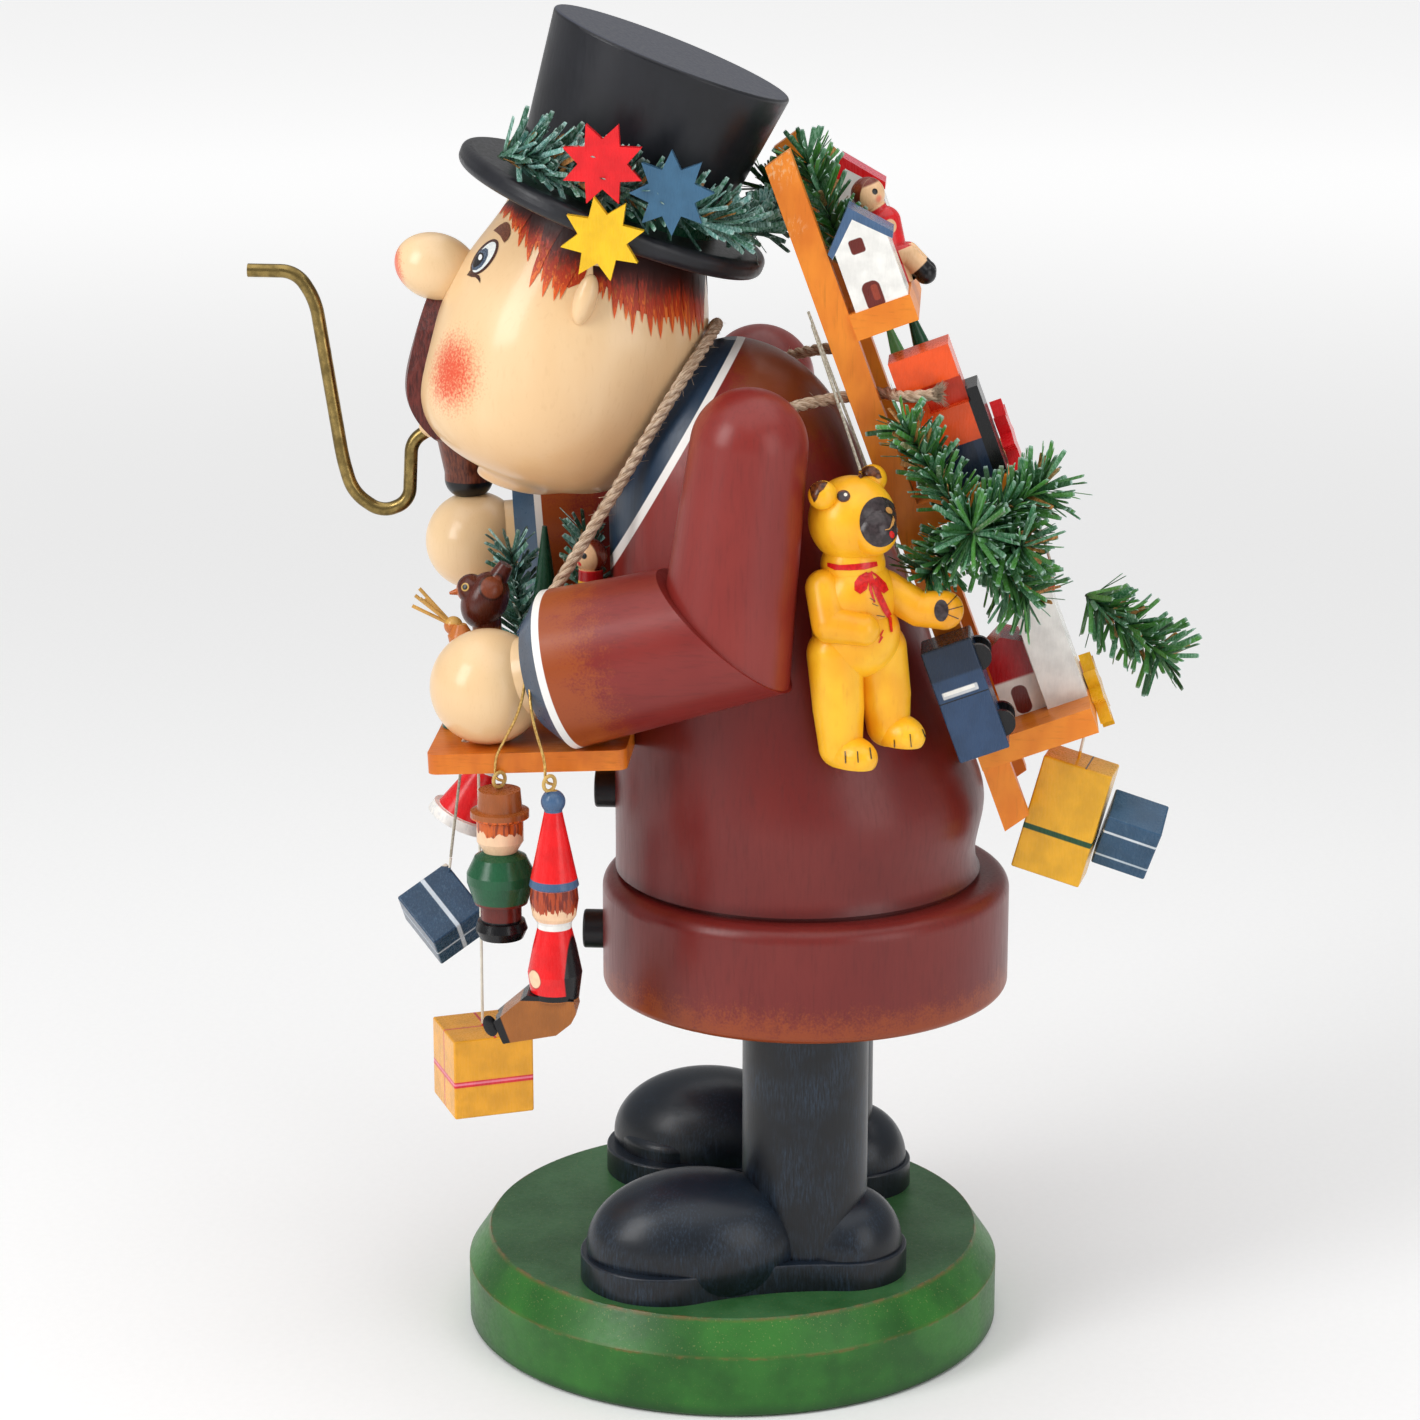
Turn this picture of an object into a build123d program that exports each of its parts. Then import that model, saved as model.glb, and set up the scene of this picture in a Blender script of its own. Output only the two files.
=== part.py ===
"""Incense smoker in the shape of a bent toy pedlar, turned and carved in wood.

Millimetres, +Z up. The origin is the centre of the base disc's underside.
The figure faces -Y and its left side is +X. The coat and all that it carries
lift off the hem, where the incense cone burns on a brass dish.
"""
from build123d import *
from math import cos, pi, radians, sin, sqrt, tan
import os

os.makedirs("parts", exist_ok=True)

# Shared allowances
cut_overrun = 5.0
glue_depth = 1.5
soft_edge = 0.6

# Base disc
base_radius = 67.5
base_rim_height = 15.3
base_height = 23.5
base_bevel_width = 5.5
base_foot_edge = 0.8

# Legs and boots
leg_radius = 15.5
leg_spread = 27.0
leg_y = 19.5
sole_thickness = 7.0
sole_toe_radius = 20.5
sole_heel_radius = 15.5
sole_toe_x = 36.0
sole_toe_y = -15.0
sole_heel_x = 28.5
sole_heel_y = 29.5
sole_waist_curve = 70.0
boot_welt = 2.2
boot_toe_half_length = 27.0
boot_toe_shift = 8.0
boot_toe_axis_rise = 2.0
boot_heel_radius = 14.4
boot_instep_height = 5.0
boot_instep_step = 3.6
boot_instep_edge = 2.4

# Hem ring and incense dish
hem_radius = 50.8
hem_y = 18.2
hem_bottom_z = 89.4
hem_height = 28.9
hem_shoulder = 4.0
hem_lower_edge = 2.0
spigot_height = 6.0
spigot_play = 0.4
dish_radius = 21.0
dish_wall = 0.9
dish_rim_height = 3.2
dish_cup_radius = 7.5

# Buttons
button_radius = 4.9
button_stand = 5.0
button_height_on_coat = 19.9
button_height_on_hem = 11.8

# Coat
coat_radius = 46.05
coat_y = 16.65
coat_height = 133.4
coat_rebate_depth = 2.0
coat_rebate_height = 1.3
chamber_radius = 27.0
chamber_height = 41.0
chamber_dome = 10.0
flue_radius = 4.5
# height, axis shift and radius at each turned station, as shares of the coat's height and radius
coat_profile_shares = (
    (0.000, 0.000, 1.000),
    (0.140, -0.003, 0.995),
    (0.238, -0.041, 0.957),
    (0.328, -0.098, 0.904),
    (0.515, -0.193, 0.820),
    (0.665, -0.296, 0.727),
    (0.822, -0.361, 0.630),
    (0.920, -0.373, 0.467),
    (0.975, -0.365, 0.260),
    (1.000, -0.360, 0.060),
)

# Head, in a frame that leans back
head_radius = 31.8
head_lean = 17.0
head_forward = 59.15
head_drop = 4.7
# height, axis shift and radius at each station, as shares of the head's radius
head_profile_shares = (
    (-1.032, -0.020, 0.080),
    (-0.996, -0.005, 0.345),
    (-0.872, 0.002, 0.652),
    (-0.566, -0.010, 0.940),
    (-0.250, 0.030, 1.006),
    (0.063, 0.050, 1.022),
    (0.377, 0.064, 0.994),
    (0.690, 0.077, 0.905),
    (1.006, 0.072, 0.784),
    (1.290, 0.065, 0.705),
)
nose_half_length = 10.3
nose_radius = 8.1
nose_y_share = -0.928
nose_z_share = 0.670
ear_half_height = 6.2
ear_radius = 2.7
ear_x_share = 0.970
ear_y_share = 0.300
ear_z_share = 0.580
lip_radius = 2.7
mouth_radius = 3.3
mouth_z_share = -0.420
lip_z_share = -0.560
moustache_thickness = 3.7
moustache_half_width = 10.5
# share of the moustache's thickness at each of the head's stations
moustache_swell_shares = (0.0, 0.2, 0.5, 0.9, 1.0, 1.0, 1.0, 1.0, 1.0, 1.0)
# right half of the moustache seen from the front, as shares of its half width and the head's radius
moustache_outline_shares = (
    (0.000, 0.480), (0.300, 0.440), (0.680, 0.220), (0.900, -0.080), (1.000, -0.340),
    (1.000, -0.600), (0.800, -0.630), (0.620, -0.450), (0.320, -0.300), (0.000, -0.240),
)

# Hat, in a frame that leans back a little more than the head
hat_lean = 21.5
hat_height_on_head = 38.2
hat_shift_on_head = 2.2
brim_radius = 38.9
brim_thickness = 5.2
brim_edge = 2.0
crown_height = 37.3
crown_foot_radius = 25.0
crown_top_radius = 30.0
crown_edge = 0.8
band_height = 8.0
band_thickness = 0.8
star_radius = 9.8
star_notch_share = 0.58
star_thickness = 3.0
star_points = 8
star_peg_radius = 1.2
star_peg_rise = 2.0
star_peg_length = 11.0
hat_stars = (
    ("hat_star_red", (35.8, -28.0, 297.9), 22.5),
    ("hat_star_blue", (35.8, -12.1, 291.4), 0.0),
    ("hat_star_yellow", (38.6, -27.9, 281.1), 11.0),
)

# Arms
shoulder_radius = 13.8
elbow_radius = 16.6
sleeve_end_radius = 19.3
cuff_length = 5.5
cuff_front_radius = 13.4
hand_radius = 13.9
right_hand_radius = 12.6
hand_neck_radius = 9.6
elbow_flare_share = 1.02
# shoulder, elbow, wrist and hand in the row frame
left_arm_places = ((45.0, 6.2, 233.8), (45.0, 1.0, 189.6), (39.0, -38.6, 178.5), (36.0, -56.5, 173.2))
right_arm_places = ((-45.0, 4.0, 234.0), (-45.0, -8.0, 197.0), (-40.0, -52.6, 193.6), (-38.0, -68.6, 192.5))

# Pipe: bent brass stem from the mouth, bowl standing on the right hand
stem_radius = 1.65
# bends of the stem, forward and up from the head's middle
stem_bends = (
    (-30.9, -17.9), (-36.4, -21.4), (-37.2, -36.6), (-44.1, -39.4), (-51.1, -34.6),
    (-53.4, -26.5), (-56.3, -6.7), (-59.2, 12.9), (-63.7, 19.9), (-75.5, 20.0),
)
bowl_wall = 1.6
bowl_foot_edge = 4.8
bowl_foot_radius = 6.2
bowl_top_radius = 9.0
bowl_height = 20.0
bowl_foot_height = 6.5
bowl_forward = 1.3

# Tray
tray_width = 92.0
tray_depth = 47.6
tray_thickness = 4.9
tray_tilt = 2.5
tray_front_y = -70.3
tray_front_z = 158.7
tray_corner = 2.5
rope_radius = 1.45
thread_radius = 0.35
eyelet_wire = 0.45

# Rack, in a frame that leans back: x to the figure's left, back, and up along the rails
rack_lean = 20.2
rack_foot_y = 66.4
rack_foot_z = 135.1
rail_length = 172.5
rail_width = 5.0
rail_depth = 6.8
rail_front = 1.0
rail_spread = 20.0
rail_top_cut = 4.0
shelf_width = 48.0
shelf_thickness = 6.4
upper_shelf_top = 131.5
upper_shelf_depth = 15.2
middle_shelf_top = 83.4
middle_shelf_depth = 22.8
lower_shelf_top = 22.9
lower_shelf_depth = 29.5


# Rope and thread routes in the row frame
neck_rope_near_end = (34.0, -63.2, 156.5)
neck_rope_far_end = (-17.5, -62.0, 156.5)
# bends between the ends: x, y and height as a share of the coat's height
neck_rope_bends = (
    (29.6, -45.2, 0.5300),
    (24.8, -25.0, 0.7729),
    (24.6, -17.2, 0.8748),
    (21.5, -10.8, 0.9528),
    (8.0, -4.2, 1.0232),
    (-8.0, -4.2, 1.0232),
    (-21.5, -10.8, 0.9528),
    (-24.4, -16.7, 0.8748),
    (-23.4, -24.0, 0.7699),
    (-19.6, -42.8, 0.5375),
)
left_shoulder_rope_route = (
    (36.0, 9.0, 237.5),
    (26.0, 12.5, 239.4),
    (15.0, 28.0, 240.6),
    (14.2, 37.8, 241.6),
    (25.4, 41.5, 242.0),
    (25.4, 49.5, 243.2),
)
right_shoulder_rope_route = (
    (-36.0, 9.0, 240.0),
    (-25.0, 13.6, 244.7),
    (-20.0, 26.5, 246.4),
)
# each of the next two ends with a short run along the swing axis, through its figure's eye
green_thread_route = (
    (47.6, -45.6, 183.0), (50.4, -46.8, 172.0), (46.58, -53.76, 158.4), (46.58, -53.76, 153.4), (48.4, -51.66, 153.4),
)
puppet_thread_route = (
    (47.6, -45.2, 186.0), (55.6, -44.2, 172.0), (57.95, -40.61, 161.0), (57.95, -40.61, 156.0), (59.77, -38.51, 156.0),
)
bear_thread_route = ((22.9, 19.7, 258.8), (42.75, 31.9, 228.25))
left_rail_wire_route = ((23.3, 18.8, 262.0), (23.3, 47.5, 186.5))
star_thread_route = ((4.0, 70.6, 219.0), (4.0, 78.4, 195.0))

# Hanging figures and parcels: places in the row frame
swing_axis = (0.655, 0.756, 0.0)
green_x = 47.5
green_y = -52.7
green_eye_z = 153.4
puppet_x = 58.0
puppet_y = -38.8
puppet_eye_z = 156.0
puppet_eye_shift = (0.87, -0.75)
eye_radius = 1.8
# radius and height under the eye of each turned step
green_steps = (
    (5.0, 1.9), (5.4, 6.6), (7.0, 7.0), (7.0, 8.6), (5.6, 9.4), (5.6, 14.5), (4.0, 17.2),
    (6.2, 18.4), (8.1, 22.4), (8.1, 24.6), (6.4, 29.9), (4.9, 30.1), (4.9, 34.2),
    (5.7, 34.4), (6.3, 36.4), (5.3, 38.6),
)
puppet_steps = (
    (2.9, 4.6), (2.1, 6.9), (5.9, 25.0), (5.5, 25.3), (5.8, 28.5), (5.2, 32.4), (4.1, 34.2),
    (4.1, 35.6), (5.2, 40.0), (6.5, 46.5), (5.7, 52.8),
)
puppet_leg_outline = (
    (-45.1, 104.9), (-34.0, 103.6), (-33.4, 100.4), (-34.6, 98.0),
    (-38.2, 95.0), (-50.9, 92.6), (-53.1, 97.9),
)
puppet_leg_width = 9.4
puppet_shoe_centre = (-54.4, 95.4)
puppet_shoe_half_length = 4.6
puppet_shoe_radius = 2.9
puppet_shoe_spread = 2.35
puppet_shoe_tilt = 106.0

yellow_parcel_side = 20.0
yellow_parcel_place = (33.0, -59.5, 76.6)
yellow_parcel_turn = (0.0, 0.0, 22.6)
yellow_parcel_eye = (33.0, -59.5, 152.6)
blue_parcel_size = (14.8, 15.8, 14.2)
blue_parcel_place = (20.0, -70.4, 110.8)
blue_parcel_turn = (-41.9, 29.7, -62.6)
blue_parcel_eye = (20.0, -68.4, 125.2)
blue_thread_top = (25.0, -64.1, 155.5)
back_yellow_size = (13.0, 17.4, 29.5)
back_yellow_place = (10.0, 82.2, 136.2)
back_yellow_turn = (-14.8, -1.2, -10.5)
back_blue_size = (11.3, 13.7, 15.8)
back_blue_place = (10.0, 98.1, 131.6)
back_blue_turn = (-19.0, 23.8, -12.3)
back_parcel_eye = (10.0, 86.4, 157.0)
parcel_edge = 0.5
hanger_gap = 0.35

ornament_eye = (-8.0, -63.0, 152.0)
ornament_top = (-8.0, -62.6, 141.5)
ornament_foot = (-8.0, -70.0, 126.6)
ornament_top_radius = 3.0
ornament_foot_radius = 7.4
ornament_trim = 1.1
ornament_trim_height = 2.6
ornament_head_radius = 4.2

# hangers under the tray and the lower shelf: eye x, y, z and the height that each reaches up to
hanger_tops = (
    (33.0, -59.5, 152.6, 156.0),
    (-8.0, -63.0, 152.0, 156.0),
    (10.0, 86.4, 157.0, 162.0),
)

# Bear: balls, and bars between balls, as centre and radius in the row frame
bear_eye = (42.75, 31.9, 227.9)
bear_head = (42.0, 30.1, 216.4, 10.3)
bear_muzzle = (47.6, 35.2, 214.8, 5.6)
bear_ears = ((48.6, 23.4, 223.4, 3.4), (36.6, 34.6, 225.0, 3.4))
bear_neck = (42.0, 30.4, 205.6, 7.6)
bear_chest = (42.0, 31.0, 198.0, 9.9)
bear_belly = (42.0, 31.3, 189.0, 10.4)
bear_near_arm = ((46.6, 23.8, 201.0, 4.4), (49.6, 25.6, 193.2, 4.6), (51.8, 33.2, 192.4, 3.9))
bear_far_arm = ((41.0, 38.0, 199.8, 4.4), (42.6, 46.0, 195.4, 4.2), (43.6, 51.8, 195.4, 4.6))
bear_near_leg = ((45.2, 26.4, 185.0, 6.6), (45.6, 27.4, 172.0, 6.1), (45.8, 28.0, 162.6, 5.2))
bear_far_leg = ((39.4, 36.6, 185.0, 6.6), (39.6, 38.2, 174.0, 6.1), (39.8, 39.0, 166.4, 5.2))
bear_feet = ((47.8, 30.6, 161.0), (41.4, 41.6, 164.8))
bear_foot_half_length = 7.4
bear_foot_radius = 4.8
bear_foot_direction = (0.68, 0.73, 0.0)

# Toys on the tray, as places in the row frame
tray_house_x = (4.0, 15.0)
tray_house_gable = ((-50.5, 159.0), (-39.5, 159.0), (-39.5, 181.0), (-45.0, 187.4), (-50.5, 181.0))
tray_house_roof = 1.8
tray_tree_foot = (-5.0, -47.0, 159.6)
tray_tree_radius = 6.5
tray_tree_height = 44.0
tray_doll_foot = (10.5, -34.2, 159.6)
tray_doll_radius = 4.2
tray_doll_height = 37.0
tray_doll_head_radius = 4.1
tray_bird_stump_foot = (11.0, -58.5, 159.2)
tray_bird_stump_radius = 3.6
tray_bird_centre = (12.0, -59.9, 188.7)
tray_bird_half_length = 7.4
tray_bird_radius = 5.6
tray_bird_tilt = 62.0
tray_bird_head = (12.0, -63.2, 191.4, 3.7)
tray_bird_beak_tip = (12.0, -68.6, 190.2)
tray_bird_tail_tip = (12.0, -54.6, 197.6)
tray_toy_foot = (19.6, -65.0, 159.0)
tray_toy_steps = ((4.9, 0.0), (4.2, 3.6), (3.6, 5.0), (4.8, 9.0), (4.4, 16.0), (2.6, 19.4), (3.2, 22.6), (1.4, 25.4))
tray_straw_foot = (18.0, -67.0, 183.6)
tray_straw_tips = (
    (16.5, -76.4, 190.6), (19.0, -76.8, 188.6), (17.5, -75.2, 192.6), (20.5, -74.6, 190.8), (15.0, -74.2, 189.4),
)
tray_straw_radius = 0.45
tray_straw_ball_radius = 2.3

# Toys on the rack: outlines as (back, up) in the rack frame, and their x range
blue_house_x = (11.5, 23.7)
blue_house_walls = ((9.6, 131.5), (22.6, 131.5), (22.6, 146.0), (16.1, 152.4), (9.6, 146.0))
red_house_x = (-23.7, -12.0)
red_house_walls = ((9.6, 131.5), (22.6, 131.5), (22.6, 153.4), (16.1, 160.4), (9.6, 153.4))
house_roof_thickness = 2.2
house_roof_overhang = 1.3
doll_x = 0.5
doll_head = (20.0, 154.2, 4.1)
doll_chest = (21.6, 146.6, 3.9)
doll_seat = (20.0, 139.4, 4.5)
doll_knee = (24.4, 137.6, 2.5)
doll_foot = (26.8, 132.0, 2.6)
doll_leg_spread = 2.4
light_tree = (0.0, 14.0, 6.6, 40.0)
dark_tree = (-14.5, 19.0, 6.6, 40.0)
wagon_x = (7.8, 22.0)
wagon_body = ((12.4, 93.4), (27.4, 93.4), (27.4, 117.2), (12.4, 117.2))
wagon_groove = ((18.0, 102.6), (28.0, 102.6), (28.0, 109.2), (18.0, 109.2))
wagon_groove_depth = 4.0
wagon_base = ((12.4, 83.4), (27.4, 83.4), (27.4, 93.4), (12.4, 93.4))
wagon_strip = ((27.4, 83.6), (30.6, 83.6), (30.6, 105.6), (27.4, 105.6))
church_tower_x = (-2.0, 12.0)
church_tower = ((20.0, 22.9), (30.2, 22.9), (30.2, 51.0), (25.1, 57.0), (20.0, 51.0))
church_nave_x = (-6.0, 9.0)
church_nave = ((9.5, 22.9), (20.0, 22.9), (20.0, 40.0), (14.8, 43.0), (9.5, 40.0))
rack_star_radius = 9.7
rack_star_thickness = 3.0
red_star_place = (4.0, 30.9, 88.0)
yellow_star_place = (0.0, 30.6, 20.6)
truck_size = (12.8, 12.5, 28.5)
truck_place = (31.2, 57.1, 172.0)
truck_turn = (20.3, 0.0, 0.0)
truck_wheel_radius = 3.2
truck_wheel_width = 1.6
truck_wheel_share = 0.30
truck_glue_block = 5.0

# Sprigs: straight wire cores with needles set round them by the golden angle
needle_radius = 0.42
core_radius = 0.6
golden_angle = 137.508
needle_lean = 42.0
# each stem: start, end, needle length, needle count
hat_stems = (
    ((30.8, -20.0, 6.2), (31.0, 6.0, 6.2), 5.7, 42),
    ((30.8, 10.0, 6.2), (24.2, 26.2, 6.2), 5.7, 34),
    ((20.0, 30.0, 6.0), (2.0, 36.0, 9.0), 6.0, 26),
)
rack_stems = (
    ((6.5, 10.6, 140.0), (6.5, 9.6, 168.0), 5.6, 28),
    ((0.0, 5.0, 158.0), (-7.0, -3.0, 163.0), 5.6, 14),
    ((33.0, 17.0, 80.0), (32.0, 12.0, 104.0), 8.5, 36),
    ((33.0, 22.0, 76.0), (34.0, 38.0, 80.0), 8.5, 28),
    ((32.5, 20.0, 72.0), (32.0, 26.0, 55.0), 8.5, 26),
    ((34.5, 15.0, 74.0), (36.0, 5.0, 69.0), 5.6, 14),
    ((-5.0, 37.0, 43.0), (-4.0, 50.0, 22.0), 7.5, 36),
)
tray_stems = (
    ((1.4, -35.4, 163.0), (1.8, -36.4, 204.0), 4.6, 34),
    ((-12.0, -52.0, 163.0), (-9.0, -56.0, 196.0), 5.6, 30),
)


def write(piece, name):
    """Label a finished piece and write it to its own file."""
    piece.part.label = name
    export_step(piece.part, f"parts/{name}.step")


def spheroid(plane, half_length, radius):
    """A turned egg whose long axis is the plane's x axis."""
    with BuildPart() as egg:
        with BuildSketch(plane):
            Ellipse(half_length, radius)
            with Locations((0, -radius)):
                Rectangle(2 * half_length, 2 * radius, mode=Mode.SUBTRACT)
        revolve(axis=Axis(plane.origin, plane.x_dir))
    return egg.part


def ball(x, y, z, radius):
    """A ball centred at a place in the row frame."""
    with BuildPart(Plane((x, y, z))) as sphere:
        Sphere(radius)
    return sphere.part


def rod(start, end, start_radius, end_radius):
    """A round bar or cone between two places in the row frame."""
    run = Vector(*end) - Vector(*start)
    with BuildPart(Plane(start, z_dir=run)) as bar:
        if start_radius == end_radius:
            Cylinder(start_radius, run.length, align=(Align.CENTER, Align.CENTER, Align.MIN))
        else:
            Cone(start_radius, end_radius, run.length,
                 align=(Align.CENTER, Align.CENTER, Align.MIN))
    return bar.part


def turned(frame, scale_length, scale_radius, shares):
    """A round form lofted through stations given as shares of its height and radius."""
    with BuildPart() as form:
        for height_share, shift_share, radius_share in shares:
            with BuildSketch(frame.offset(height_share * scale_length)):
                with Locations((0, shift_share * scale_radius)):
                    Circle(radius_share * scale_radius)
        loft()
    return form.part


def bend_radii(points, share=0.45):
    """Tangent arc radii at each bend, from the shorter run beside it."""
    radii = []
    for before, here, after in zip(points, points[1:], points[2:]):
        run_in = Vector(*here) - Vector(*before)
        run_out = Vector(*after) - Vector(*here)
        half_turn = radians(run_in.get_angle(run_out)) / 2
        shorter = min(run_in.length, run_out.length)
        radii.append(share * shorter / tan(half_turn))
    return radii


def bent_wire(points, radius):
    """A wire along straight runs joined by tangent arcs."""
    with BuildPart() as wire:
        with BuildLine() as route:
            if len(points) > 2:
                FilletPolyline(*points, radius=bend_radii(points))
            else:
                Line(*points)
        path = route.wires()[0]
        with BuildSketch(Plane(path @ 0, z_dir=path % 0)):
            Circle(radius)
        sweep()
    section = pi * radius**2 * path.length
    print("wire", [round(r, 1) for r in bend_radii(points)], "length", round(path.length, 1),
          "volume share", round(wire.part.volume / section, 3))
    return wire.part


def block(plane, x_range, outline):
    """A slab: an outline in (back, up), extruded over a range of the plane's x."""
    low, high = x_range
    side = Plane(plane.from_local_coords((low, 0, 0)), x_dir=plane.y_dir, z_dir=plane.x_dir)
    with BuildPart() as slab:
        with BuildSketch(side):
            with BuildLine():
                Polyline(*outline, close=True)
            make_face()
        extrude(amount=high - low)
    return slab.part


def cuboid(place, turn, size, edge):
    """A small box with softened edges, turned about the row's x, y and z in that order."""
    with BuildPart(mode=Mode.PRIVATE) as crate:
        Box(*size)
        fillet(crate.edges(), edge)
    turned_crate = Rot(0, 0, turn[2]) * Rot(0, turn[1], 0) * Rot(turn[0], 0, 0) * crate.part
    return Pos(*place) * turned_crate


def lathe(x, y, top_z, steps):
    """A turned figure from steps of radius and depth below its top."""
    with BuildPart() as figure:
        with BuildSketch(Plane((x, y, top_z), x_dir=(1, 0, 0), z_dir=(0, -1, 0))):
            with BuildLine():
                outline = [(0, -steps[0][1])]
                outline += [(radius, -depth) for radius, depth in steps]
                outline += [(0, -steps[-1][1])]
                Polyline(*outline, close=True)
            make_face()
        revolve(axis=Axis((x, y, top_z), (0, 0, 1)))
    return figure.part


def star(plane, radius, notch_share, thickness, points, turn=0.0):
    """A flat star lying on a plane."""
    step = 180 / points
    outline = []
    for index in range(2 * points):
        reach = radius if index % 2 == 0 else radius * notch_share
        angle = radians(turn + index * step)
        outline.append((reach * cos(angle), reach * sin(angle)))
    with BuildPart() as flat_star:
        with BuildSketch(plane):
            with BuildLine():
                Polyline(*outline, close=True)
            make_face()
        extrude(amount=thickness)
    return flat_star.part


def roof(plane, x_range, outline, thickness, overhang):
    """Two roof boards over the gable's last three corners: eave, ridge, eave."""
    eave_a, ridge, eave_b = outline[2], outline[3], outline[4]
    boards = []
    for eave, side in ((eave_a, 1), (eave_b, -1)):
        fall = (eave[0] - ridge[0], eave[1] - ridge[1])
        run = sqrt(fall[0] ** 2 + fall[1] ** 2)
        low = (eave[0] + overhang * fall[0] / run, eave[1] + overhang * fall[1] / run)
        lift = (0, thickness * run / abs(fall[0]))
        boards.append([
            ridge, low, (low[0] + side * overhang / 2, low[1] + lift[1] / 2),
            (ridge[0] + lift[0], ridge[1] + lift[1]),
        ])
    with BuildPart() as cover:
        for board in boards:
            add(block(plane, x_range, board))
    return cover.part


def sprig(plane, stems):
    """Wire cores with three-sided needles, set round each core by the golden angle."""
    strands = []
    cores = []
    for start, end, needle_length, count in stems:
        foot = plane.from_local_coords(start)
        tip = plane.from_local_coords(end)
        cores.append(rod(foot, tip, core_radius, core_radius))
        run = tip - foot
        along = run.normalized()
        stem = Plane(foot, z_dir=along)
        for index in range(count):
            angle = radians(index * golden_angle)
            out = stem.x_dir * cos(angle) + stem.y_dir * sin(angle)
            needle_dir = along * cos(radians(needle_lean)) + out * sin(radians(needle_lean))
            root = foot + run * ((index + 0.5) / (count + 1)) + out * (core_radius / 2)
            needle_plane = Plane(root, x_dir=along.cross(out), z_dir=needle_dir)
            face = Face(Wire.make_polygon([
                needle_plane.from_local_coords((needle_radius, -needle_radius / 2)),
                needle_plane.from_local_coords((0, needle_radius)),
                needle_plane.from_local_coords((-needle_radius, -needle_radius / 2)),
            ]))
            strands.append(Solid.extrude(face, needle_dir * needle_length))
    with BuildPart() as spray:
        add(cores[0].fuse(*cores[1:], *strands))
    return spray.part


# Base disc
with BuildPart() as base_disc:
    with BuildSketch(Plane.XZ):
        with BuildLine():
            Polyline(
                (0, 0),
                (base_radius - base_foot_edge, 0),
                (base_radius, base_foot_edge),
                (base_radius, base_rim_height),
                (base_radius - base_bevel_width, base_height),
                (0, base_height),
                close=True,
            )
        make_face()
    revolve(axis=Axis.Z)
write(base_disc, "base_disc")

# Legs stand on the soles inside the boots and end under the hem
sole_top_z = base_height + sole_thickness
leg_length = hem_bottom_z - sole_top_z
with BuildPart(Plane((leg_spread, leg_y, sole_top_z))) as left_leg:
    Cylinder(leg_radius, leg_length, align=(Align.CENTER, Align.CENTER, Align.MIN))
write(left_leg, "left_leg")
with BuildPart() as right_leg:
    add(mirror(left_leg.part, about=Plane.YZ))
write(right_leg, "right_leg")

# Boots: a peanut sole and instep, a long toe dome and a round heel dome
toe_at = Vector(sole_toe_x, sole_toe_y, 0)
heel_at = Vector(sole_heel_x, sole_heel_y, 0)
foot_axis = (heel_at - toe_at).normalized()
foot_side = Vector(foot_axis.Y, -foot_axis.X, 0)


def peanut(foot_z, height, inset, edge):
    """A step whose outline is two circles joined by hollow arcs that touch both."""
    toe_reach, heel_reach = sole_toe_radius - inset, sole_heel_radius - inset
    length = (heel_at - toe_at).length
    toe_centre_distance = toe_reach + sole_waist_curve
    heel_centre_distance = heel_reach + sole_waist_curve
    along = (toe_centre_distance**2 - heel_centre_distance**2 + length**2) / (2 * length)
    across = sqrt(toe_centre_distance**2 - along**2)
    hollows = [toe_at + foot_axis * along + foot_side * across * side for side in (1, -1)]
    corners = []
    for hollow, order in zip(hollows, (1, -1)):
        touches = [
            toe_at + (hollow - toe_at).normalized() * toe_reach,
            heel_at + (hollow - heel_at).normalized() * heel_reach,
        ]
        corners += [(touch.X, touch.Y) for touch in touches[::order]]
    with BuildPart() as step:
        with BuildSketch(Plane.XY.offset(foot_z)):
            with BuildLine():
                Polyline(*corners, close=True)
            make_face()
            with Locations(*[(hollow.X, hollow.Y) for hollow in hollows]):
                Circle(sole_waist_curve, mode=Mode.SUBTRACT)
            with Locations((sole_toe_x, sole_toe_y)):
                Circle(toe_reach)
            with Locations((sole_heel_x, sole_heel_y)):
                Circle(heel_reach)
        extrude(amount=height)
        fillet(step.edges().group_by(Axis.Z)[-1], edge)
    return step.part


with BuildPart() as left_boot:
    add(peanut(base_height, sole_thickness, 0, soft_edge))
    add(peanut(base_height, sole_thickness + boot_instep_height, boot_instep_step, boot_instep_edge))
    toe_axis_z = sole_top_z + boot_toe_axis_rise
    toe_dir = Vector(sole_toe_x - sole_heel_x, sole_toe_y - sole_heel_y, 0)
    toe_plane = Plane(
        (sole_toe_x, sole_toe_y + boot_toe_shift, toe_axis_z),
        x_dir=toe_dir,
        z_dir=Vector(0, 0, 1).cross(toe_dir),
    )
    toe_dome = spheroid(toe_plane, boot_toe_half_length, sole_toe_radius - boot_welt)
    heel_dome = ball(sole_heel_x, sole_heel_y, sole_top_z, boot_heel_radius)
    add(toe_dome)
    add(heel_dome)
    split(bisect_by=Plane.XY.offset(base_height), keep=Keep.TOP)
    add(left_leg.part, mode=Mode.SUBTRACT)
write(left_boot, "left_boot")
with BuildPart() as right_boot:
    add(mirror(left_boot.part, about=Plane.YZ))
write(right_boot, "right_boot")

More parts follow.
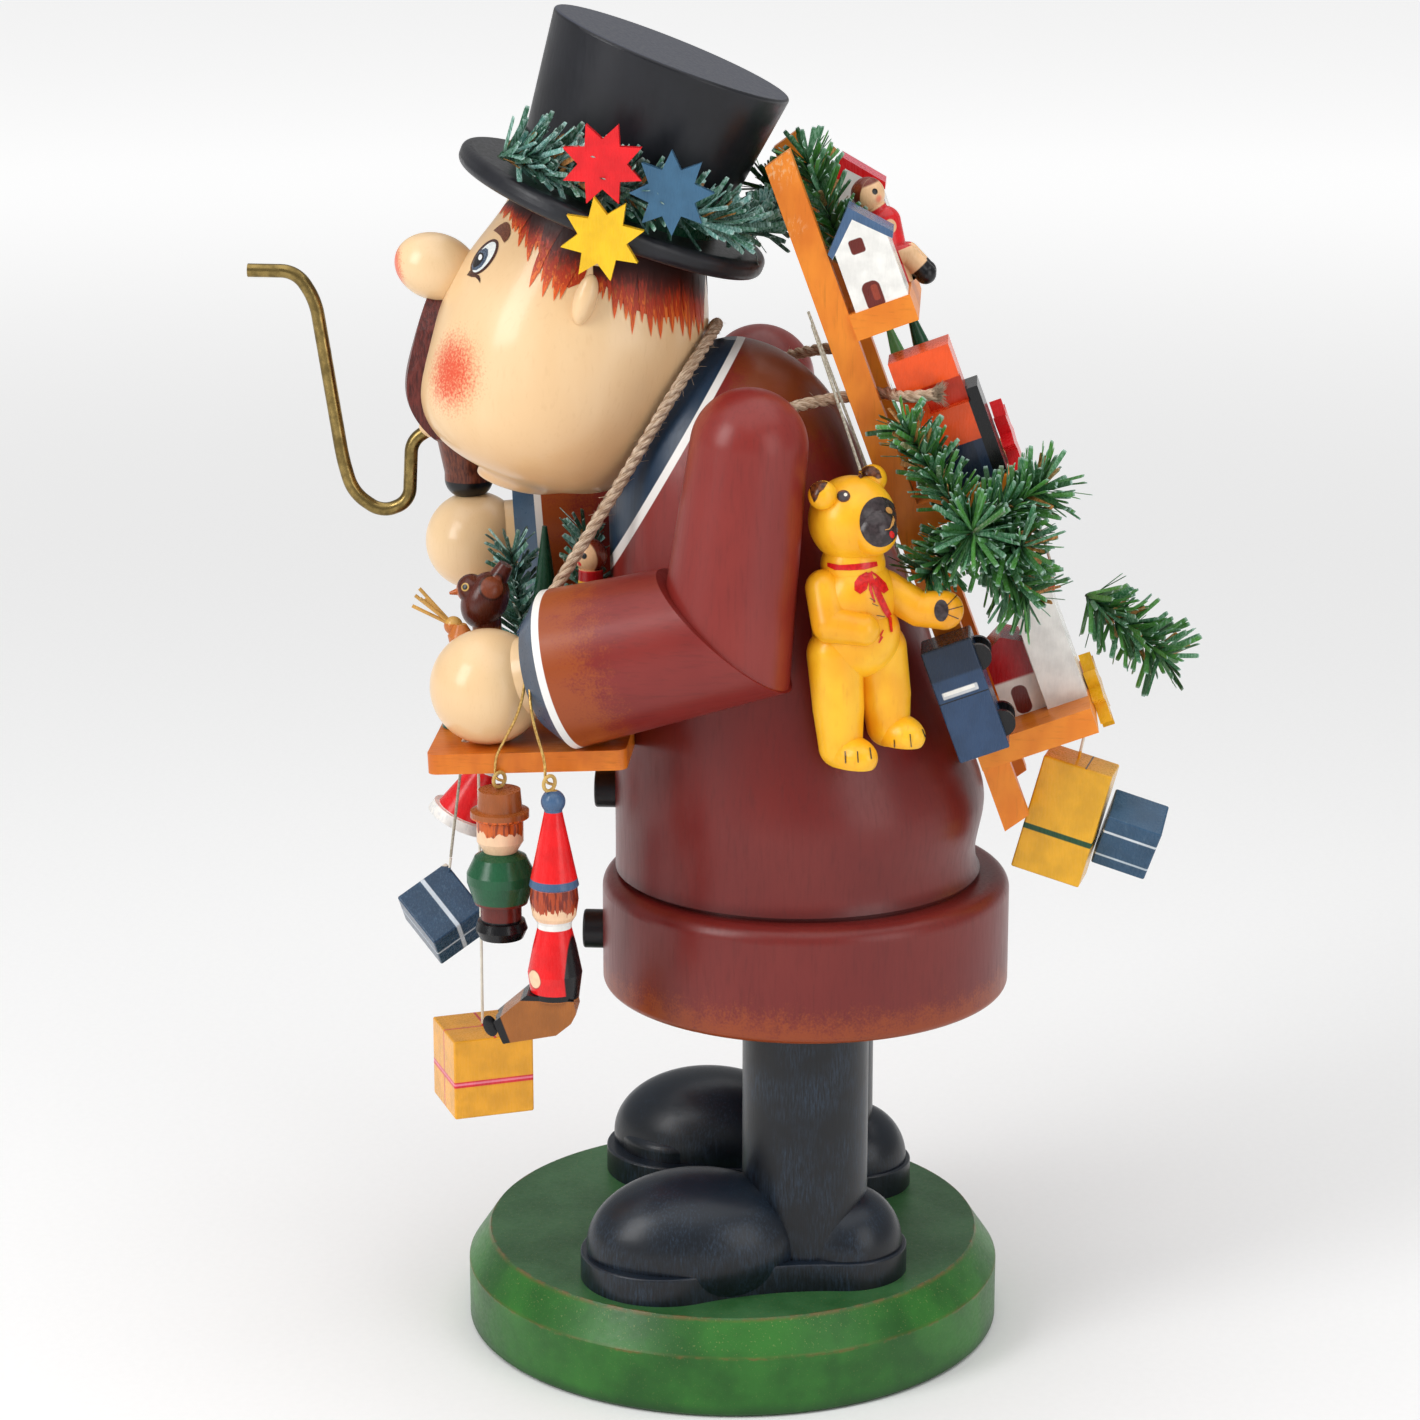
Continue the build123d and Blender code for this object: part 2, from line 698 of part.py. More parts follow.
# Hem ring with the spigot that centres the coat
seam_z = hem_bottom_z + hem_height
with BuildPart() as hem_ring:
    with BuildPart(Plane((0, hem_y, hem_bottom_z)), mode=Mode.PRIVATE) as hem_block:
        Cylinder(hem_radius, hem_height, align=(Align.CENTER, Align.CENTER, Align.MIN))
        fillet(hem_block.edges().sort_by(Axis.Z)[-1], hem_shoulder)
        fillet(hem_block.edges().sort_by(Axis.Z)[0], hem_lower_edge)
    add(hem_block.part)
    with BuildSketch(Plane.XY.offset(seam_z)):
        with Locations((0, coat_y)):
            Circle(chamber_radius - spigot_play)
    extrude(amount=spigot_height)
write(hem_ring, "hem_ring")

# Brass dish with a cup for the cone
dish_z = seam_z + spigot_height
with BuildPart() as incense_dish:
    with BuildSketch(Plane((0, coat_y, dish_z), x_dir=(1, 0, 0), z_dir=(0, -1, 0))):
        with BuildLine():
            Polyline(
                (0, 0),
                (dish_radius - dish_rim_height, 0),
                (dish_radius, dish_rim_height),
                (dish_radius - dish_wall, dish_rim_height),
                (dish_radius - dish_rim_height - dish_wall, dish_wall),
                (dish_cup_radius + dish_wall, dish_wall),
                (dish_cup_radius + dish_wall, 2 * dish_wall),
                (dish_cup_radius, 2 * dish_wall),
                (dish_cup_radius, dish_wall),
                (0, dish_wall),
                close=True,
            )
        make_face()
    revolve(axis=Axis((0, coat_y, dish_z), (0, 0, 1)))
write(incense_dish, "incense_dish")

# Coat: a turned, stooping body, hollow from below
coat_frame = Plane((0, coat_y, seam_z))
coat_form = turned(coat_frame, coat_height, coat_radius, coat_profile_shares)
coat_top_y = coat_y + coat_profile_shares[-1][1] * coat_radius
coat_top_z = seam_z + coat_height

# Head frame and form
head_y = coat_y - head_forward
head_z = coat_top_z - head_drop
head_axis = Vector(0, sin(radians(head_lean)), cos(radians(head_lean)))
head_frame = Plane((0, head_y, head_z), x_dir=(1, 0, 0), z_dir=head_axis)
head_form = turned(head_frame, head_radius, head_radius, head_profile_shares)

# Hat frame, its origin at the brim's middle
hat_axis = Vector(0, sin(radians(hat_lean)), cos(radians(hat_lean)))
hat_origin = head_frame.from_local_coords((0, hat_shift_on_head, hat_height_on_head))
hat_frame = Plane(hat_origin, x_dir=(1, 0, 0), z_dir=hat_axis)
brim_under = hat_frame.offset(-brim_thickness / 2)
brim_top = hat_frame.offset(brim_thickness / 2)

mouth_z = head_z + mouth_z_share * head_radius
flue_turn_y = head_y + head_radius / 2
flue_start = (0, coat_y - flue_radius, seam_z + chamber_height - flue_radius)
flue_turn = (0, flue_turn_y, mouth_z)
mouth_end = (0, head_y - head_radius - cut_overrun, mouth_z)
flue_low = rod(flue_start, flue_turn, flue_radius, flue_radius)
flue_high = rod(flue_turn, mouth_end, mouth_radius, mouth_radius)
flue_bend = ball(*flue_turn, flue_radius)
with BuildPart() as smoke_chamber:
    with BuildSketch(coat_frame):
        Circle(chamber_radius)
    extrude(amount=chamber_height)
    fillet(smoke_chamber.edges().sort_by(Axis.Z)[-1], chamber_dome)
with BuildPart() as coat:
    add(coat_form)
    add(head_form, mode=Mode.SUBTRACT)
    add(smoke_chamber.part, mode=Mode.SUBTRACT)
    add(flue_low, mode=Mode.SUBTRACT)
    add(flue_bend, mode=Mode.SUBTRACT)
    with BuildSketch(coat_frame):
        Circle(coat_radius + coat_rebate_depth)
        Circle(coat_radius - coat_rebate_depth, mode=Mode.SUBTRACT)
    extrude(amount=coat_rebate_height, mode=Mode.SUBTRACT)
write(coat, "coat")

with BuildPart() as head:
    add(head_form)
    split(bisect_by=brim_under, keep=Keep.BOTTOM)
    add(ball(0, head_y - head_radius, head_z + lip_z_share * head_radius, lip_radius))
    add(flue_high, mode=Mode.SUBTRACT)
    add(flue_bend, mode=Mode.SUBTRACT)
    add(flue_low, mode=Mode.SUBTRACT)

# Pipe stem and its hole in the lower lip
pipe_stem_part = bent_wire([(0, head_y + forward, head_z + rise) for forward, rise in stem_bends], stem_radius)
with BuildPart() as pipe_stem:
    add(pipe_stem_part)
write(pipe_stem, "pipe_stem")
with BuildPart() as finished_head:
    add(head.part)
    add(pipe_stem_part, mode=Mode.SUBTRACT)
write(finished_head, "head")
head = finished_head

# Nose, ears and moustache sit on the head's skin
with BuildPart() as nose:
    nose_centre = Vector(0, head_y + nose_y_share * head_radius, head_z + nose_z_share * head_radius)
    add(spheroid(Plane(nose_centre, x_dir=(0, -cos(radians(head_lean)), sin(radians(head_lean))),
                       z_dir=(1, 0, 0)), nose_half_length, nose_radius))
    add(head_form, mode=Mode.SUBTRACT)
write(nose, "nose")

with BuildPart() as ears:
    for side in (1, -1):
        ear_place = Vector(side * ear_x_share * head_radius, head_y + ear_y_share * head_radius,
                           head_z + ear_z_share * head_radius)
        add(spheroid(Plane(ear_place, x_dir=head_axis, z_dir=(1, 0, 0)), ear_half_height, ear_radius))
    add(head_form, mode=Mode.SUBTRACT)
    split(bisect_by=brim_under, keep=Keep.BOTTOM)
write(ears, "ears")

moustache_profile_shares = [
    (height_share, shift_share, radius_share + swell * moustache_thickness / head_radius)
    for (height_share, shift_share, radius_share), swell in zip(head_profile_shares, moustache_swell_shares)
]
moustache_skin = turned(head_frame, head_radius, head_radius, moustache_profile_shares)
with BuildPart() as moustache:
    with BuildSketch(Plane((0, head_y, head_z), x_dir=(1, 0, 0), z_dir=(0, -1, 0))):
        with BuildLine():
            half = [(x * moustache_half_width, z * head_radius) for x, z in moustache_outline_shares]
            Polyline(*half, *[(-x, z) for x, z in reversed(half[1:-1])], close=True)
        make_face()
    extrude(amount=head_radius + nose_half_length)
    add(moustache_skin, mode=Mode.INTERSECT)
    add(head_form, mode=Mode.SUBTRACT)
    add(nose.part, mode=Mode.SUBTRACT)
write(moustache, "moustache")

# Hat
with BuildPart(brim_under) as hat_brim:
    Cylinder(brim_radius, brim_thickness, align=(Align.CENTER, Align.CENTER, Align.MIN))
    fillet(hat_brim.edges().filter_by(GeomType.CIRCLE), brim_edge)
write(hat_brim, "hat_brim")
with BuildPart(brim_top) as hat_crown:
    Cone(crown_foot_radius, crown_top_radius, crown_height,
         align=(Align.CENTER, Align.CENTER, Align.MIN))
    fillet(hat_crown.edges().filter_by(GeomType.CIRCLE).sort_by(Axis((0, 0, 0), hat_axis))[-1], crown_edge)
write(hat_crown, "hat_crown")
band_top_radius = crown_foot_radius + (crown_top_radius - crown_foot_radius) * band_height / crown_height
band_foot = Vector(brim_top.origin)
with BuildPart() as hat_band:
    add(rod(band_foot, band_foot + hat_axis * band_height, crown_foot_radius + band_thickness,
            band_top_radius + band_thickness))
    add(hat_crown.part, mode=Mode.SUBTRACT)
write(hat_band, "hat_band")

for name, (x, y, z), turn in hat_stars:
    with BuildPart() as hat_star:
        add(star(Plane((x, y, z), x_dir=(0, 1, 0), z_dir=(1, 0, 0)), star_radius, star_notch_share,
                 star_thickness, star_points, turn))
        peg_z = z + star_peg_rise
        add(rod((x - star_peg_length, y, peg_z), (x, y, peg_z), star_peg_radius, star_peg_radius))
        add(hat_crown.part, mode=Mode.SUBTRACT)
        add(hat_band.part, mode=Mode.SUBTRACT)
        add(hat_brim.part, mode=Mode.SUBTRACT)
    write(hat_star, name)

with BuildPart() as hat_sprig:
    add(sprig(brim_top, hat_stems))
write(hat_sprig, "hat_sprig")

# Tray
tray_plane = Plane((0, tray_front_y, tray_front_z), x_dir=(1, 0, 0),
                   z_dir=(0, -sin(radians(tray_tilt)), cos(radians(tray_tilt))))
neck_rope_over_coat = [(x, y, seam_z + share * coat_height) for x, y, share in neck_rope_bends]
neck_rope_route = [neck_rope_near_end, *neck_rope_over_coat, neck_rope_far_end]
neck_rope_part = bent_wire(neck_rope_route, rope_radius)
with BuildPart() as tray:
    with BuildSketch(tray_plane):
        with Locations((0, tray_depth / 2)):
            RectangleRounded(tray_width, tray_depth, tray_corner)
    extrude(amount=-tray_thickness)
    add(coat_form, mode=Mode.SUBTRACT)
    add(neck_rope_part, mode=Mode.SUBTRACT)
write(tray, "tray")


def arm(side, shoulder, elbow, wrist, hand_place, hand_size):
    """An arm of two turned pieces mitred at the elbow, a cuff and a ball hand."""
    shoulder_at, elbow_at = Vector(*shoulder), Vector(*elbow)
    wrist_at, hand_at = Vector(*wrist), Vector(*hand_place)
    upper_dir = (shoulder_at - elbow_at).normalized()
    fore_dir = (wrist_at - elbow_at).normalized()
    mitre = Plane(elbow_at, z_dir=fore_dir - upper_dir)
    cuff_end = wrist_at + fore_dir * cuff_length
    neighbours = (coat_form, tray.part, neck_rope_part)
    with BuildPart() as upper:
        add(rod(shoulder_at, elbow_at - upper_dir * elbow_radius * 1.5, shoulder_radius,
                elbow_radius * elbow_flare_share))
        split(bisect_by=mitre, keep=Keep.BOTTOM)
        add(ball(*shoulder_at, shoulder_radius))
        for neighbour in neighbours:
            add(neighbour, mode=Mode.SUBTRACT)
    with BuildPart() as fore:
        add(rod(elbow_at - fore_dir * elbow_radius * 1.5, wrist_at, elbow_radius / elbow_flare_share,
                sleeve_end_radius))
        split(bisect_by=mitre, keep=Keep.TOP)
        for neighbour in neighbours:
            add(neighbour, mode=Mode.SUBTRACT)
    with BuildPart() as cuff:
        add(rod(wrist_at, cuff_end, sleeve_end_radius, cuff_front_radius))
        for neighbour in neighbours:
            add(neighbour, mode=Mode.SUBTRACT)
    with BuildPart() as hand:
        add(ball(*hand_at, hand_size))
        add(rod(cuff_end, hand_at, hand_neck_radius, hand_neck_radius))
        add(cuff.part, mode=Mode.SUBTRACT)
        for neighbour in neighbours:
            add(neighbour, mode=Mode.SUBTRACT)
    return upper, fore, cuff, hand


left = arm(1, *left_arm_places, hand_radius)
right = arm(-1, *right_arm_places, right_hand_radius)
for name, pieces in (("left", left), ("right", right)):
    write(pieces[0], name + "_upper_arm")
    write(pieces[1], name + "_forearm")
    write(pieces[3], name + "_hand")
with BuildPart() as cuffs:
    add(left[2].part)
    add(right[2].part)
write(cuffs, "cuffs")
print("cuff solids", len(cuffs.part.solids()), "closed", cuffs.part.is_valid)

left_arm_parts = (left[0].part, left[1].part, left[2].part, left[3].part)
with BuildPart() as neck_rope:
    add(neck_rope_part)
    add(coat_form, mode=Mode.SUBTRACT)
write(neck_rope, "neck_rope")

# Pipe bowl stands on the right hand
bowl_place = Vector(*right_arm_places[3]) + Vector(0, -bowl_forward, right_hand_radius - cut_overrun / 4)
with BuildPart() as pipe_bowl:
    with BuildSketch(Plane(bowl_place, x_dir=(1, 0, 0), z_dir=(0, -1, 0))):
        with BuildLine():
            Polyline(
                (0, 0),
                (bowl_foot_radius, 0),
                (bowl_foot_radius, bowl_foot_height),
                (bowl_top_radius, bowl_height),
                (bowl_top_radius - bowl_wall, bowl_height),
                (bowl_foot_radius - bowl_wall, bowl_foot_height),
                (0, bowl_foot_height),
                close=True,
            )
        make_face()
    revolve(axis=Axis(bowl_place, (0, 0, 1)))
    fillet(pipe_bowl.edges().sort_by(Axis.Z)[0], bowl_foot_edge)
    add(right[3].part, mode=Mode.SUBTRACT)
write(pipe_bowl, "pipe_bowl")

# Buttons
for name, height, stem_z in (("coat_button", button_height_on_coat, seam_z), ("hem_button", button_height_on_hem, hem_bottom_z)):
    body = coat_form if name == "coat_button" else hem_ring.part
    front_y = coat_y - coat_radius if name == "coat_button" else hem_y - hem_radius
    button_face = (0, front_y - button_stand, stem_z + height)
    button_back = (0, front_y + button_stand, stem_z + height)
    with BuildPart() as button:
        add(rod(button_face, button_back, button_radius, button_radius))
        fillet(button.edges().sort_by(Axis.Y)[0], soft_edge)
        add(body, mode=Mode.SUBTRACT)
    write(button, name)

# Rack
rack_axis = Vector(0, -sin(radians(rack_lean)), cos(radians(rack_lean)))
rack = Plane((0, rack_foot_y, rack_foot_z), x_dir=(1, 0, 0), z_dir=rack_axis)
rail_back = rail_front + rail_depth
rail_outline = (
    (rail_front, 0), (rail_back, rail_top_cut / 2), (rail_back, rail_length),
    (rail_front, rail_length - rail_top_cut / 2),
)
with BuildPart() as rack_rails:
    for side in (-1, 1):
        middle = side * rail_spread
        add(block(rack, (middle - rail_width / 2, middle + rail_width / 2), rail_outline))
    for arm_part in left_arm_parts:
        add(arm_part, mode=Mode.SUBTRACT)
write(rack_rails, "rack_rails")


def shelf_outline(front, depth, top):
    """A shelf's end outline, from its front edge to its back edge."""
    return ((front, top - shelf_thickness), (depth, top - shelf_thickness), (depth, top), (front, top))


shelf_range = (-shelf_width / 2, shelf_width / 2)
with BuildPart() as upper_shelf:
    add(block(rack, shelf_range, shelf_outline(rail_back, rail_back + upper_shelf_depth, upper_shelf_top)))
write(upper_shelf, "upper_shelf")
with BuildPart() as middle_shelf:
    add(block(rack, shelf_range, shelf_outline(rail_back, rail_back + middle_shelf_depth, middle_shelf_top)))
write(middle_shelf, "middle_shelf")
with BuildPart() as lower_shelf:
    add(block(rack, shelf_range, shelf_outline(rail_front, rail_front + lower_shelf_depth, lower_shelf_top)))
    foot_range = (-rail_spread / 2, rail_spread / 2)
    add(block(rack, foot_range, shelf_outline(-shelf_thickness, rail_back, lower_shelf_top)))
    add(rack_rails.part, mode=Mode.SUBTRACT)
    add(coat_form, mode=Mode.SUBTRACT)
write(lower_shelf, "lower_shelf")

# Toys on the upper shelf
houses = {}
for name, x_range, walls in (
    ("blue_roof_house", blue_house_x, blue_house_walls),
    ("red_roof_house", red_house_x, red_house_walls),
):
    with BuildPart() as house:
        add(block(rack, x_range, walls))
        add(roof(rack, x_range, walls, house_roof_thickness, house_roof_overhang))
    houses[name] = house.part
    write(house, name)


def rack_ball(x, back, up, radius):
    """A ball at a place in the rack frame."""
    place = rack.from_local_coords((x, back, up))
    return ball(*place, radius)


def rack_rod(start, end, start_radius, end_radius):
    """A bar between two places in the rack frame."""
    return rod(rack.from_local_coords(start), rack.from_local_coords(end), start_radius, end_radius)


with BuildPart() as rack_doll:
    head_back, head_up, head_size = doll_head
    chest_back, chest_up, chest_size = doll_chest
    seat_back, seat_up, seat_size = doll_seat
    knee_back, knee_up, knee_size = doll_knee
    foot_back, foot_up, foot_size = doll_foot
    add(rack_ball(doll_x, head_back, head_up, head_size))
    add(rack_ball(doll_x, chest_back, chest_up, chest_size))
    add(rack_rod((doll_x, seat_back, upper_shelf_top), (doll_x, seat_back, seat_up), seat_size, seat_size))
    add(rack_rod((doll_x, seat_back, seat_up), (doll_x, chest_back, chest_up), seat_size, chest_size))
    add(rack_rod((doll_x, chest_back, chest_up), (doll_x, head_back, head_up), knee_size, knee_size))
    for side in (-1, 1):
        leg_x = doll_x + side * doll_leg_spread
        add(rack_ball(leg_x, knee_back, knee_up, knee_size))
        add(rack_rod((leg_x, seat_back, seat_up), (leg_x, knee_back, knee_up), knee_size, knee_size))
        add(rack_rod((leg_x, knee_back, knee_up), (leg_x, foot_back, foot_up), knee_size, knee_size))
        add(rack_ball(leg_x, foot_back, foot_up, foot_size))
    add(upper_shelf.part, mode=Mode.SUBTRACT)
    for house_part in houses.values():
        add(house_part, mode=Mode.SUBTRACT)
write(rack_doll, "rack_doll")

# Toys on the middle shelf
with BuildPart() as toy_wagon:
    add(block(rack, wagon_x, wagon_base))
    add(block(rack, wagon_x, wagon_body))
    add(block(rack, wagon_x, wagon_strip))
    groove_range = (wagon_x[1] - wagon_groove_depth, wagon_x[1] + cut_overrun)
    add(block(rack, groove_range, wagon_groove), mode=Mode.SUBTRACT)
left_shoulder_rope_part = bent_wire(left_shoulder_rope_route, rope_radius)
right_shoulder_rope_part = bent_wire(right_shoulder_rope_route, rope_radius)
with BuildPart() as wagon_with_rope:
    add(toy_wagon.part)
    add(left_shoulder_rope_part, mode=Mode.SUBTRACT)
write(wagon_with_rope, "toy_wagon")

with BuildPart() as rack_trees:
    for x, back, radius, height in (light_tree, dark_tree):
        add(rack_rod((x, back, middle_shelf_top), (x, back, middle_shelf_top + height), radius, core_radius))
    add(toy_wagon.part, mode=Mode.SUBTRACT)
write(rack_trees, "rack_trees")

with BuildPart() as shoulder_ropes:
    add(left_shoulder_rope_part)
    add(right_shoulder_rope_part)
    for neighbour in (left[0].part, right[0].part, coat_form, rack_rails.part):
        add(neighbour, mode=Mode.SUBTRACT)
write(shoulder_ropes, "shoulder_ropes")

# Toys on the lower shelf and the truck beside it
with BuildPart() as toy_church:
    add(block(rack, church_tower_x, church_tower))
    add(block(rack, church_nave_x, church_nave))
    add(roof(rack, church_tower_x, church_tower, house_roof_thickness, house_roof_overhang))
write(toy_church, "toy_church")

with BuildPart() as toy_truck:
    add(cuboid(truck_place, truck_turn, truck_size, parcel_edge))
    truck_frame = Plane(Location(truck_place, truck_turn))
    _, truck_depth, truck_height = truck_size
    for share in (-truck_wheel_share, truck_wheel_share):
        for side in (-1, 1):
            wheel_x = side * (truck_size[0] / 2 - truck_wheel_width)
            low_x, high_x = sorted((wheel_x, wheel_x - side * truck_wheel_width))
            add(rod(truck_frame.from_local_coords((low_x, truck_depth / 2, share * truck_height)),
                    truck_frame.from_local_coords((high_x, truck_depth / 2, share * truck_height)),
                    truck_wheel_radius, truck_wheel_radius))
    add(rod((rail_spread, truck_place[1], truck_place[2]), truck_place, truck_glue_block / 2, truck_glue_block / 2))
    add(rack_rails.part, mode=Mode.SUBTRACT)
    add(lower_shelf.part, mode=Mode.SUBTRACT)
write(toy_truck, "toy_truck")

with BuildPart() as rack_stars:
    for x, back, up in (red_star_place, yellow_star_place):
        place = rack.from_local_coords((x, back, up))
        add(star(Plane(place, x_dir=(1, 0, 0), z_dir=rack.y_dir), rack_star_radius, star_notch_share,
                 rack_star_thickness, star_points))
    add(lower_shelf.part, mode=Mode.SUBTRACT)
    add(middle_shelf.part, mode=Mode.SUBTRACT)
    add(toy_wagon.part, mode=Mode.SUBTRACT)
    add(toy_church.part, mode=Mode.SUBTRACT)
write(rack_stars, "rack_stars")

with BuildPart() as rack_sprigs:
    add(sprig(rack, rack_stems))
write(rack_sprigs, "rack_sprigs")

# Toys on the tray
with BuildPart() as tray_house:
    add(block(Plane.XY, tray_house_x, tray_house_gable))
    add(roof(Plane.XY, tray_house_x, tray_house_gable, tray_house_roof, house_roof_overhang))
    add(tray.part, mode=Mode.SUBTRACT)
write(tray_house, "tray_house")

with BuildPart() as tray_tree:
    tree_foot = Vector(*tray_tree_foot)
    add(rod(tree_foot, tree_foot + Vector(0, 0, tray_tree_height), tray_tree_radius, core_radius))
    add(tray.part, mode=Mode.SUBTRACT)
    add(tray_house.part, mode=Mode.SUBTRACT)
write(tray_tree, "tray_tree")

with BuildPart() as tray_doll:
    doll_base = Vector(*tray_doll_foot)
    doll_top = doll_base + Vector(0, 0, tray_doll_height)
    add(rod(doll_base, doll_top, tray_doll_radius, tray_doll_radius * 0.7))
    add(ball(*(doll_top + Vector(0, 0, tray_doll_head_radius * 0.8)), tray_doll_head_radius))
    add(tray.part, mode=Mode.SUBTRACT)
    add(coat_form, mode=Mode.SUBTRACT)
write(tray_doll, "tray_doll")

with BuildPart() as tray_bird:
    bird_middle = Vector(*tray_bird_centre)
    tilt = radians(tray_bird_tilt)
    head_x, head_at_y, head_at_z, bird_head_radius = tray_bird_head
    add(spheroid(Plane(bird_middle, x_dir=(0, cos(tilt), sin(tilt)), z_dir=(1, 0, 0)),
                 tray_bird_half_length, tray_bird_radius))
    add(ball(head_x, head_at_y, head_at_z, bird_head_radius))
    add(rod((head_x, head_at_y, head_at_z), tray_bird_beak_tip, bird_head_radius / 2, thread_radius))
    add(rod(bird_middle, tray_bird_tail_tip, bird_head_radius, bird_head_radius / 2))
    add(rod(tray_bird_stump_foot, bird_middle, tray_bird_stump_radius, tray_bird_stump_radius))
    for neighbour in (tray.part, left[3].part, tray_house.part):
        add(neighbour, mode=Mode.SUBTRACT)
write(tray_bird, "tray_bird")

with BuildPart() as tray_toy:
    toy_x, toy_y, toy_z = tray_toy_foot
    toy_top = toy_z + tray_toy_steps[-1][1]
    add(lathe(toy_x, toy_y, toy_top, [(r, toy_top - toy_z - h) for r, h in reversed(tray_toy_steps)]))
    for tip in tray_straw_tips:
        add(rod(tray_straw_foot, tip, tray_straw_radius, tray_straw_radius))
    add(ball(*tray_straw_foot, tray_straw_ball_radius))
    for neighbour in (tray.part, left[3].part, tray_bird.part):
        add(neighbour, mode=Mode.SUBTRACT)
write(tray_toy, "tray_toy")

with BuildPart() as tray_sprigs:
    add(sprig(Plane.XY, tray_stems))
write(tray_sprigs, "tray_sprigs")


def screw_eye(x, y, z):
    """A wire eye whose ring faces along the swing axis, with a stub down into the wood."""
    with BuildPart() as eye:
        with BuildSketch(Plane(Vector(x, y, z) + Vector(0, 0, eye_radius), x_dir=(0, 0, 1),
                               z_dir=Vector(*swing_axis).cross(Vector(0, 0, 1)))):
            Circle(eyelet_wire)
        revolve(axis=Axis((x, y, z), swing_axis))
        add(rod((x, y, z - eye_radius - eyelet_wire - glue_depth), (x, y, z - eye_radius),
                eyelet_wire, eyelet_wire))
    return eye.part


# Hanging figures
with BuildPart() as green_figure:
    add(lathe(green_x, green_y, green_eye_z, [(r, d + eyelet_wire) for r, d in green_steps]))
    add(screw_eye(green_x, green_y, green_eye_z))
write(green_figure, "green_figure")

with BuildPart() as red_puppet:
    add(lathe(puppet_x, puppet_y, puppet_eye_z, puppet_steps))
    pom_radius, pom_depth = puppet_steps[0]
    add(ball(puppet_x, puppet_y, puppet_eye_z - pom_depth, pom_radius))
    add(block(Plane.XY, (puppet_x - puppet_leg_width / 2, puppet_x + puppet_leg_width / 2), puppet_leg_outline))
    shoe_tilt = radians(puppet_shoe_tilt)
    for side in (-1, 1):
        shoe_place = (puppet_x + side * puppet_shoe_spread, *puppet_shoe_centre)
        add(spheroid(Plane(shoe_place, x_dir=(0, cos(shoe_tilt), sin(shoe_tilt)), z_dir=(1, 0, 0)),
                     puppet_shoe_half_length, puppet_shoe_radius))
    shift_x, shift_y = puppet_eye_shift
    add(screw_eye(puppet_x + shift_x, puppet_y + shift_y, puppet_eye_z))
write(red_puppet, "red_puppet")

with BuildPart() as front_yellow_parcel:
    add(cuboid(yellow_parcel_place, yellow_parcel_turn, (yellow_parcel_side,) * 3, parcel_edge))
    add(rod(yellow_parcel_place, yellow_parcel_eye, thread_radius, thread_radius))
write(front_yellow_parcel, "front_yellow_parcel")

with BuildPart() as front_blue_parcel:
    add(cuboid(blue_parcel_place, blue_parcel_turn, blue_parcel_size, parcel_edge))
    add(rod(blue_parcel_place, blue_parcel_eye, thread_radius, thread_radius))
write(front_blue_parcel, "front_blue_parcel")

with BuildPart() as back_parcels:
    add(cuboid(back_yellow_place, back_yellow_turn, back_yellow_size, parcel_edge))
    add(cuboid(back_blue_place, back_blue_turn, back_blue_size, parcel_edge))
    add(rod(back_yellow_place, back_parcel_eye, thread_radius, thread_radius))
write(back_parcels, "back_parcels")

with BuildPart() as ornament:
    add(rod(ornament_top, ornament_foot, ornament_top_radius, ornament_foot_radius))
    hang = (Vector(*ornament_foot) - Vector(*ornament_top)).normalized()
    add(rod(Vector(*ornament_foot) - hang * ornament_trim_height, ornament_foot,
            ornament_foot_radius + ornament_trim / 2, ornament_foot_radius + ornament_trim))
    add(ball(*ornament_top, ornament_head_radius))
    add(rod(ornament_top, ornament_eye, thread_radius, thread_radius))
write(ornament, "ornament")


def limb(joints):
    """Balls joined by bars, each given as a centre and a radius."""
    with BuildPart() as bent_limb:
        for x, y, z, radius in joints:
            add(ball(x, y, z, radius))
        for start, end in zip(joints, joints[1:]):
            add(rod(start[:3], end[:3], start[3], end[3]))
    return bent_limb.part


with BuildPart() as bear:
    for form in (bear_head, bear_muzzle, bear_neck, bear_chest, bear_belly, *bear_ears):
        add(ball(*form))
    for joints in (bear_near_arm, bear_far_arm, bear_near_leg, bear_far_leg):
        add(limb(joints))
    for foot_place in bear_feet:
        with BuildPart(mode=Mode.PRIVATE) as foot:
            add(spheroid(Plane(foot_place, x_dir=bear_foot_direction, z_dir=(0, 0, 1)),
                         bear_foot_half_length, bear_foot_radius))
            split(bisect_by=Plane(foot_place).offset(-bear_foot_radius / 2), keep=Keep.TOP)
        add(foot.part)
    add(rod((bear_eye[0], bear_eye[1], bear_head[2]), bear_eye, thread_radius, thread_radius))
write(bear, "bear")

# Fixed threads and wire hangers
with BuildPart() as toy_wires:
    for route in (green_thread_route, puppet_thread_route):
        add(bent_wire(route, thread_radius))
    for route in (bear_thread_route, left_rail_wire_route, star_thread_route):
        add(bent_wire(route, thread_radius))
    for eye_x, eye_y, eye_z, top_z in hanger_tops:
        add(rod((eye_x, eye_y, eye_z + hanger_gap), (eye_x, eye_y, top_z), thread_radius, thread_radius))
    add(rod((blue_parcel_eye[0], blue_parcel_eye[1], blue_parcel_eye[2] + hanger_gap), blue_thread_top,
            thread_radius, thread_radius))
    for neighbour in (tray.part, left[3].part, left[2].part, left[1].part, rack_rails.part, lower_shelf.part,
                      rack_stars.part, toy_church.part, toy_wagon.part):
        add(neighbour, mode=Mode.SUBTRACT)
write(toy_wires, "toy_wires")

